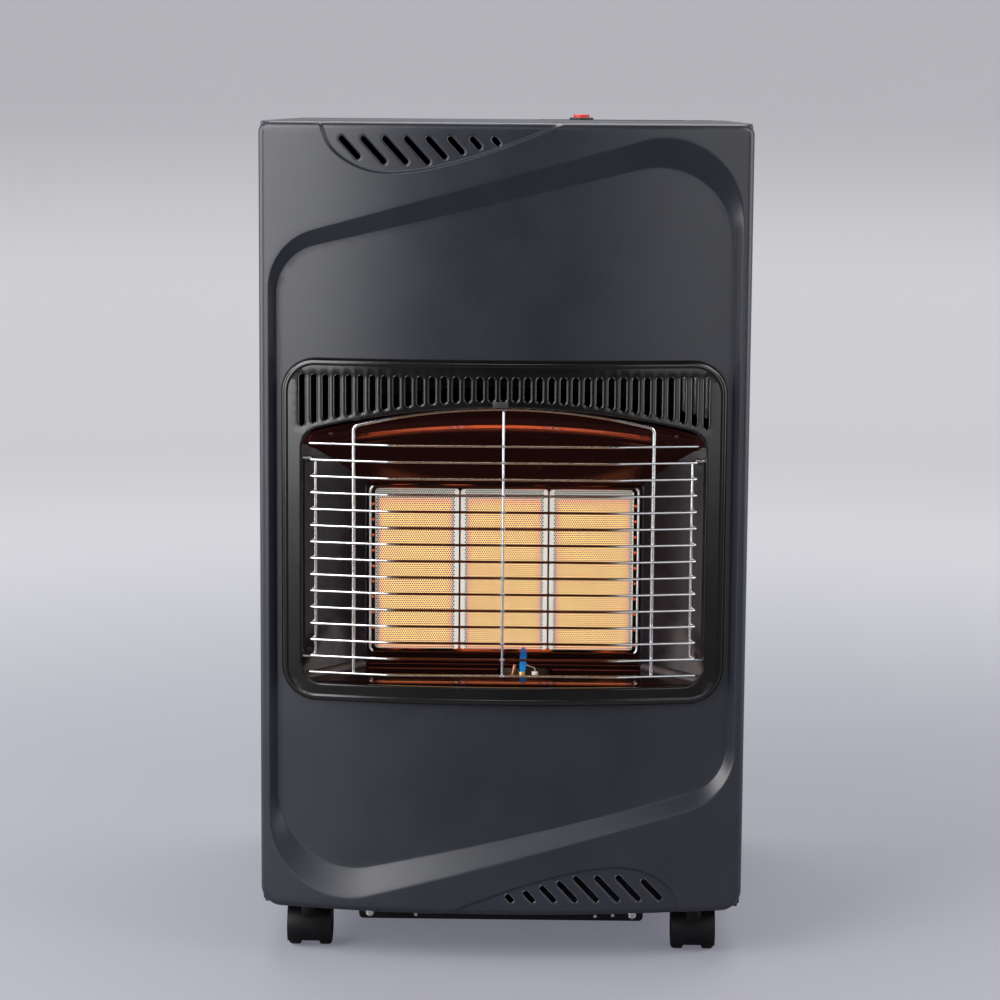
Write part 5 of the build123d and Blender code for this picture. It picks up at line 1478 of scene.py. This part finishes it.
castorValues = {
    "x": 169.6, "y": {"front": -174.0, "rear": 176.0}, "trail": 14.0, "radius": 20.0, "span": (8.2, 19.4),
    "bore": 3.05, "boreEnd": 1.4, "tread": 3.6, "shoulder": 3.4,
}


def wheelProfile():  # (radius, along the axle) from the bore's end, over the tread, to the outer middle
    v = castorValues
    (inner, outer), r = v["span"], v["radius"]
    profile = [(0.0, outer - v["boreEnd"]), (v["bore"], outer - v["boreEnd"]), (v["bore"], inner),
               (r - 2, inner), (r - 0.6, inner + 0.5), (r, inner + 1.8), (r, outer - v["tread"])]
    profile += [(r - v["shoulder"] * (1 - math.cos(a)), outer - v["tread"] + v["shoulder"] * math.sin(a))
                for a in np.linspace(0.25, 1.35, 6)]
    return profile + [(r - 4.2, outer - 0.25), (r - 4.8, outer - 0.9), (7.5, outer - 0.7),
                      (6.8, outer - 0.15), (5, outer), (0, outer)]


def makeCastors():
    v = castorValues
    sides = (("left", -1), ("right", 1))
    for end, y in v["y"].items():
        for side, sign in sides:
            name = f"castor_{end}_{side}"
            plain = "castor" + end.capitalize() + side.capitalize()
            softened(name + "_hood", plain + "Hood", castorPlastic, 0.6, name)
            for wheelSide, wheelSign in sides:
                node = f"{name}_wheel_{wheelSide}"
                wheel = turnedPart(plain + wheelSide.capitalize() + "Wheel", wheelProfile(),
                                   (sign * v["x"], y + v["trail"], v["radius"]), (wheelSign, 0, 0),
                                   castorPlastic, 56, 42)
                fitted(wheel, node, node)


makeCastors()
print("castors on")


screwValues = {
    "head": (3.6, 1.4, 0.7), "foot": (4.0, 1.9, 0.7),
    "bar": ((-115.5, -186.02, 36.2), (115.5, -186.02, 36.2)),
    "rearX": (-150, -50, 50, 150), "rear": (0, 206.02, 710.0), "feet": ((-100, 100), (-120, 140), 45.98),
}


def panHead(radius, height, recess, segments=24):  # screw head towards -y, a cross pressed into it
    profile = [(0.0, -height), (radius * 0.5, -height * 0.97), (radius * 0.85, -height * 0.7),
               (radius, -height * 0.25), (radius, 0.0)]
    turns = [2 * math.pi * k / segments for k in range(segments)]
    rows = []
    for r, y in profile:
        sunk = recess if r < radius * 0.6 else 0.0
        rows.append([(r * math.cos(turn), y + sunk * max(0.0, math.cos(2 * turn)) ** 6, r * math.sin(turn))
                     for turn in turns])
    points, faces = loftedRows(rows, True)
    return points, faces + [tuple(range(len(points) - segments, len(points)))]


def moved(piece, place, degrees, axis):
    turn = Matrix.Rotation(math.radians(degrees), 4, axis)
    piece.data.transform(Matrix.Translation(Vector(place) * mm) @ turn)
    return piece


def makeScrews():
    v = screwValues
    head = tidied(pieceFrom("head", *panHead(*v["head"]), None), 1e-5)
    parts = [copies("barScrews", head, v["bar"], screwSteel)]
    rear = copies("rearScrews", head, [(x, 0, 0) for x in v["rearX"]], screwSteel)
    parts.append(moved(rear, v["rear"], 180, "Z"))
    across, deep, z = v["feet"]
    for x in across:
        for y in deep:
            foot = tidied(pieceFrom("foot", *panHead(*v["foot"]), screwSteel), 1e-5)
            parts.append(moved(foot, (x, y, z), 90, "X"))
    bpy.data.objects.remove(head)
    fitted(shaded(joined("caseScrews", parts), 40), "case_screws")


makeScrews()
# the cross bar wears a darker copy of the cabinet paint, painted shade under the front panel
softened("front_cross_bar", "frontCrossBar", cabinetPaint("barPaint", 0.25, 1.25), 0.4)
softened("gas_valve", "gasValve", brass, 0.4)
softened("hose_nozzle", "hoseNozzle", brass, 0.3)

plainFinishes = {  # solids that stay as they are
    "base_tray": paint, "heat_partition": partitionSteel, "burner_bracket": innerSteel, "injectors": brass,
    "electrode_insulator": insulator, "spark_electrode": electrodeWire, "thermocouple": copper,
    "pilot_pipe": aluminium, "ignition_lead": rubber, "valve_plunger": brass, "valve_spindle": screwSteel,
}
for side in ("left", "centre", "right"):
    plainFinishes.update({"burner_box_" + side: hotSteel, "feed_pipe_" + side: aluminium})
for castor in ("front_left", "front_right", "rear_left", "rear_right"):
    plainFinishes[f"castor_{castor}_pins"] = screwSteel
for node, finish in plainFinishes.items():
    refinished(node, finish)
print("inner pieces finished")


stageValues = {
    "paper": (0.20, 0.20, 0.22), "frontPaper": (0.035, 0.035, 0.04), "floorGlow": (0.13, 0.13, 0.165),
    "farGlow": (0.50, 0.50, 0.52), "frontGlow": (0.40, 0.40, 0.45), "wallGlow": (0.34, 0.34, 0.36),
    "far": (0.45, 2.6), "wall": (0.3, 0.75), "front": (-1.1, -0.42), "shine": (-0.1, 0.9),
    "radius": 4600.0, "bend": 1100.0, "height": 5500.0, "world": 0.035, "sky": (0.80, 0.84, 0.92, 1),
}
lampValues = {  # power, place and size
    "key": (80, (-2.05, -1.9, 2.15), (2.2, 1.5)), "leftCard": (42, (-1.72, -2.15, 0.85), (1.5, 1.5)),
    "rightCard": (12, (1.45, -2.2, 0.85), (1.5, 1.5)), "right": (30, (2.35, -1.5, 2.1), (1.3, 1.3)),
    "leftSide": (44, (-2.6, -0.1, 1.0), (1.3, 1.8)), "rightSide": (27, (2.6, -0.1, 1.0), (1.3, 1.8)),
    "top": (66, (0.1, 0.75, 2.8), (2.4, 1.4)), "above": (6, (-0.1, -3.2, 2.25), (0.9, 0.3)),
}
plaqueLamp = {"power": 0.09, "y": -0.1495, "z": 0.3365, "size": (0.066, 0.137), "colour": (1.0, 0.40, 0.11)}


def stageFinish():  # pale paper, with some light of its own for what looks straight at it
    v = stageValues
    finish = Finish("palePaper", Roughness=0.9, Emission_Strength=1.0)
    cloud = finish.noise(600, 2, 0.5)
    up = finish.along("Z").between(*v["wall"])
    away = finish.node("ShaderNodeVectorMath", {"operation": "LENGTH"}, {0: finish.place()}, "Value")
    camera, glossy, through = (finish.node("ShaderNodeLightPath", output=kind)
                               for kind in ("Is Camera Ray", "Is Glossy Ray", "Is Transmission Ray"))
    depth = finish.along("Y")
    behind, beyond = depth.between(*v["front"]), depth.between(*v["shine"])
    ground = finish.mixed(away.between(*v["far"]), v["floorGlow"], v["farGlow"])
    glow = finish.mixed(up, finish.mixed(behind, v["frontGlow"], ground), v["wallGlow"])
    shown = finish.mixed(camera + (glossy + through) * beyond, (0.0, 0.0, 0.0), glow)
    tone = finish.mixed(cloud, v["paper"], tuple(c * 1.06 for c in v["paper"]))
    return finish.wear(Base_Color=finish.mixed(behind, v["frontPaper"], tone), Emission_Color=shown)


def makeStage():  # one round sheet of paper: floor, bend and wall
    v = stageValues
    far, bend = v["radius"], v["bend"]
    profile = [(0.0, 0.0), (500, 0.0), (1500, 0.0), (far - bend, 0.0)]
    profile += [(far - bend + bend * math.sin(a), bend * (1 - math.cos(a)))
                for a in np.linspace(0.1, math.pi / 2, 14)]
    profile.append((far, v["height"]))
    paper = turnedPart("backdrop", profile, (0, 0, 0), (0, 0, 1), stageFinish(), 96, 60, True)
    outwards(paper, (0, 0, 2))


def makeLight(name, power, place, size, aim=(0, -0.1, 0.4), colour=(1, 1, 1), mirrored=True):
    data = bpy.data.lights.new(name, "AREA")
    data.shape, data.size, data.size_y, data.energy, data.color = "RECTANGLE", *size, power, colour
    lamp = linked(name, data)
    lamp.location = place
    lamp.visible_camera, lamp.visible_glossy = False, mirrored
    lamp.rotation_euler = (Vector(aim) - Vector(place)).to_track_quat("-Z", "Y").to_euler()


def makeWorld():
    world = bpy.data.worlds.new("studio")
    world.use_nodes = True
    shade = world.node_tree.nodes["Background"]
    shade.inputs["Color"].default_value = stageValues["sky"]
    shade.inputs["Strength"].default_value = stageValues["world"]
    bpy.context.scene.world = world


cameraValues = {
    "place": (0.039, -2.682, 0.746), "lens": 105.0, "sensor": 36.0, "down": 7.8, "yaw": -0.97, "roll": 0.40,
}


def makeCamera():
    v = cameraValues
    down, yaw, roll = (math.radians(v[k]) for k in ("down", "yaw", "roll"))
    ahead = Vector((math.sin(yaw) * math.cos(down), math.cos(yaw) * math.cos(down), -math.sin(down)))
    right = Vector((math.cos(yaw), -math.sin(yaw), 0))
    up = right.cross(ahead)
    tiltedRight = right * math.cos(roll) + up * math.sin(roll)
    tiltedUp = up * math.cos(roll) - right * math.sin(roll)
    data = bpy.data.cameras.new("camera")
    data.lens, data.sensor_width, data.clip_start, data.clip_end = v["lens"], v["sensor"], 0.05, 50
    camera = linked("camera", data)
    turn = Matrix((tiltedRight, tiltedUp, -ahead)).transposed().to_4x4()
    camera.matrix_world = Matrix.Translation(v["place"]) @ turn
    bpy.context.scene.camera = camera


makeStage()
for name, values in lampValues.items():
    makeLight(name + "Light", *values)
for x in (-plaqueValues["pitch"] * mm, 0.0, plaqueValues["pitch"] * mm):
    v = plaqueLamp
    makeLight("plaqueLight", v["power"], (x, v["y"], v["z"]), v["size"], (x, -1, v["z"]), v["colour"], False)
makeWorld()
makeCamera()
bpy.context.scene.view_settings.view_transform = "Standard"
print("studio ready")
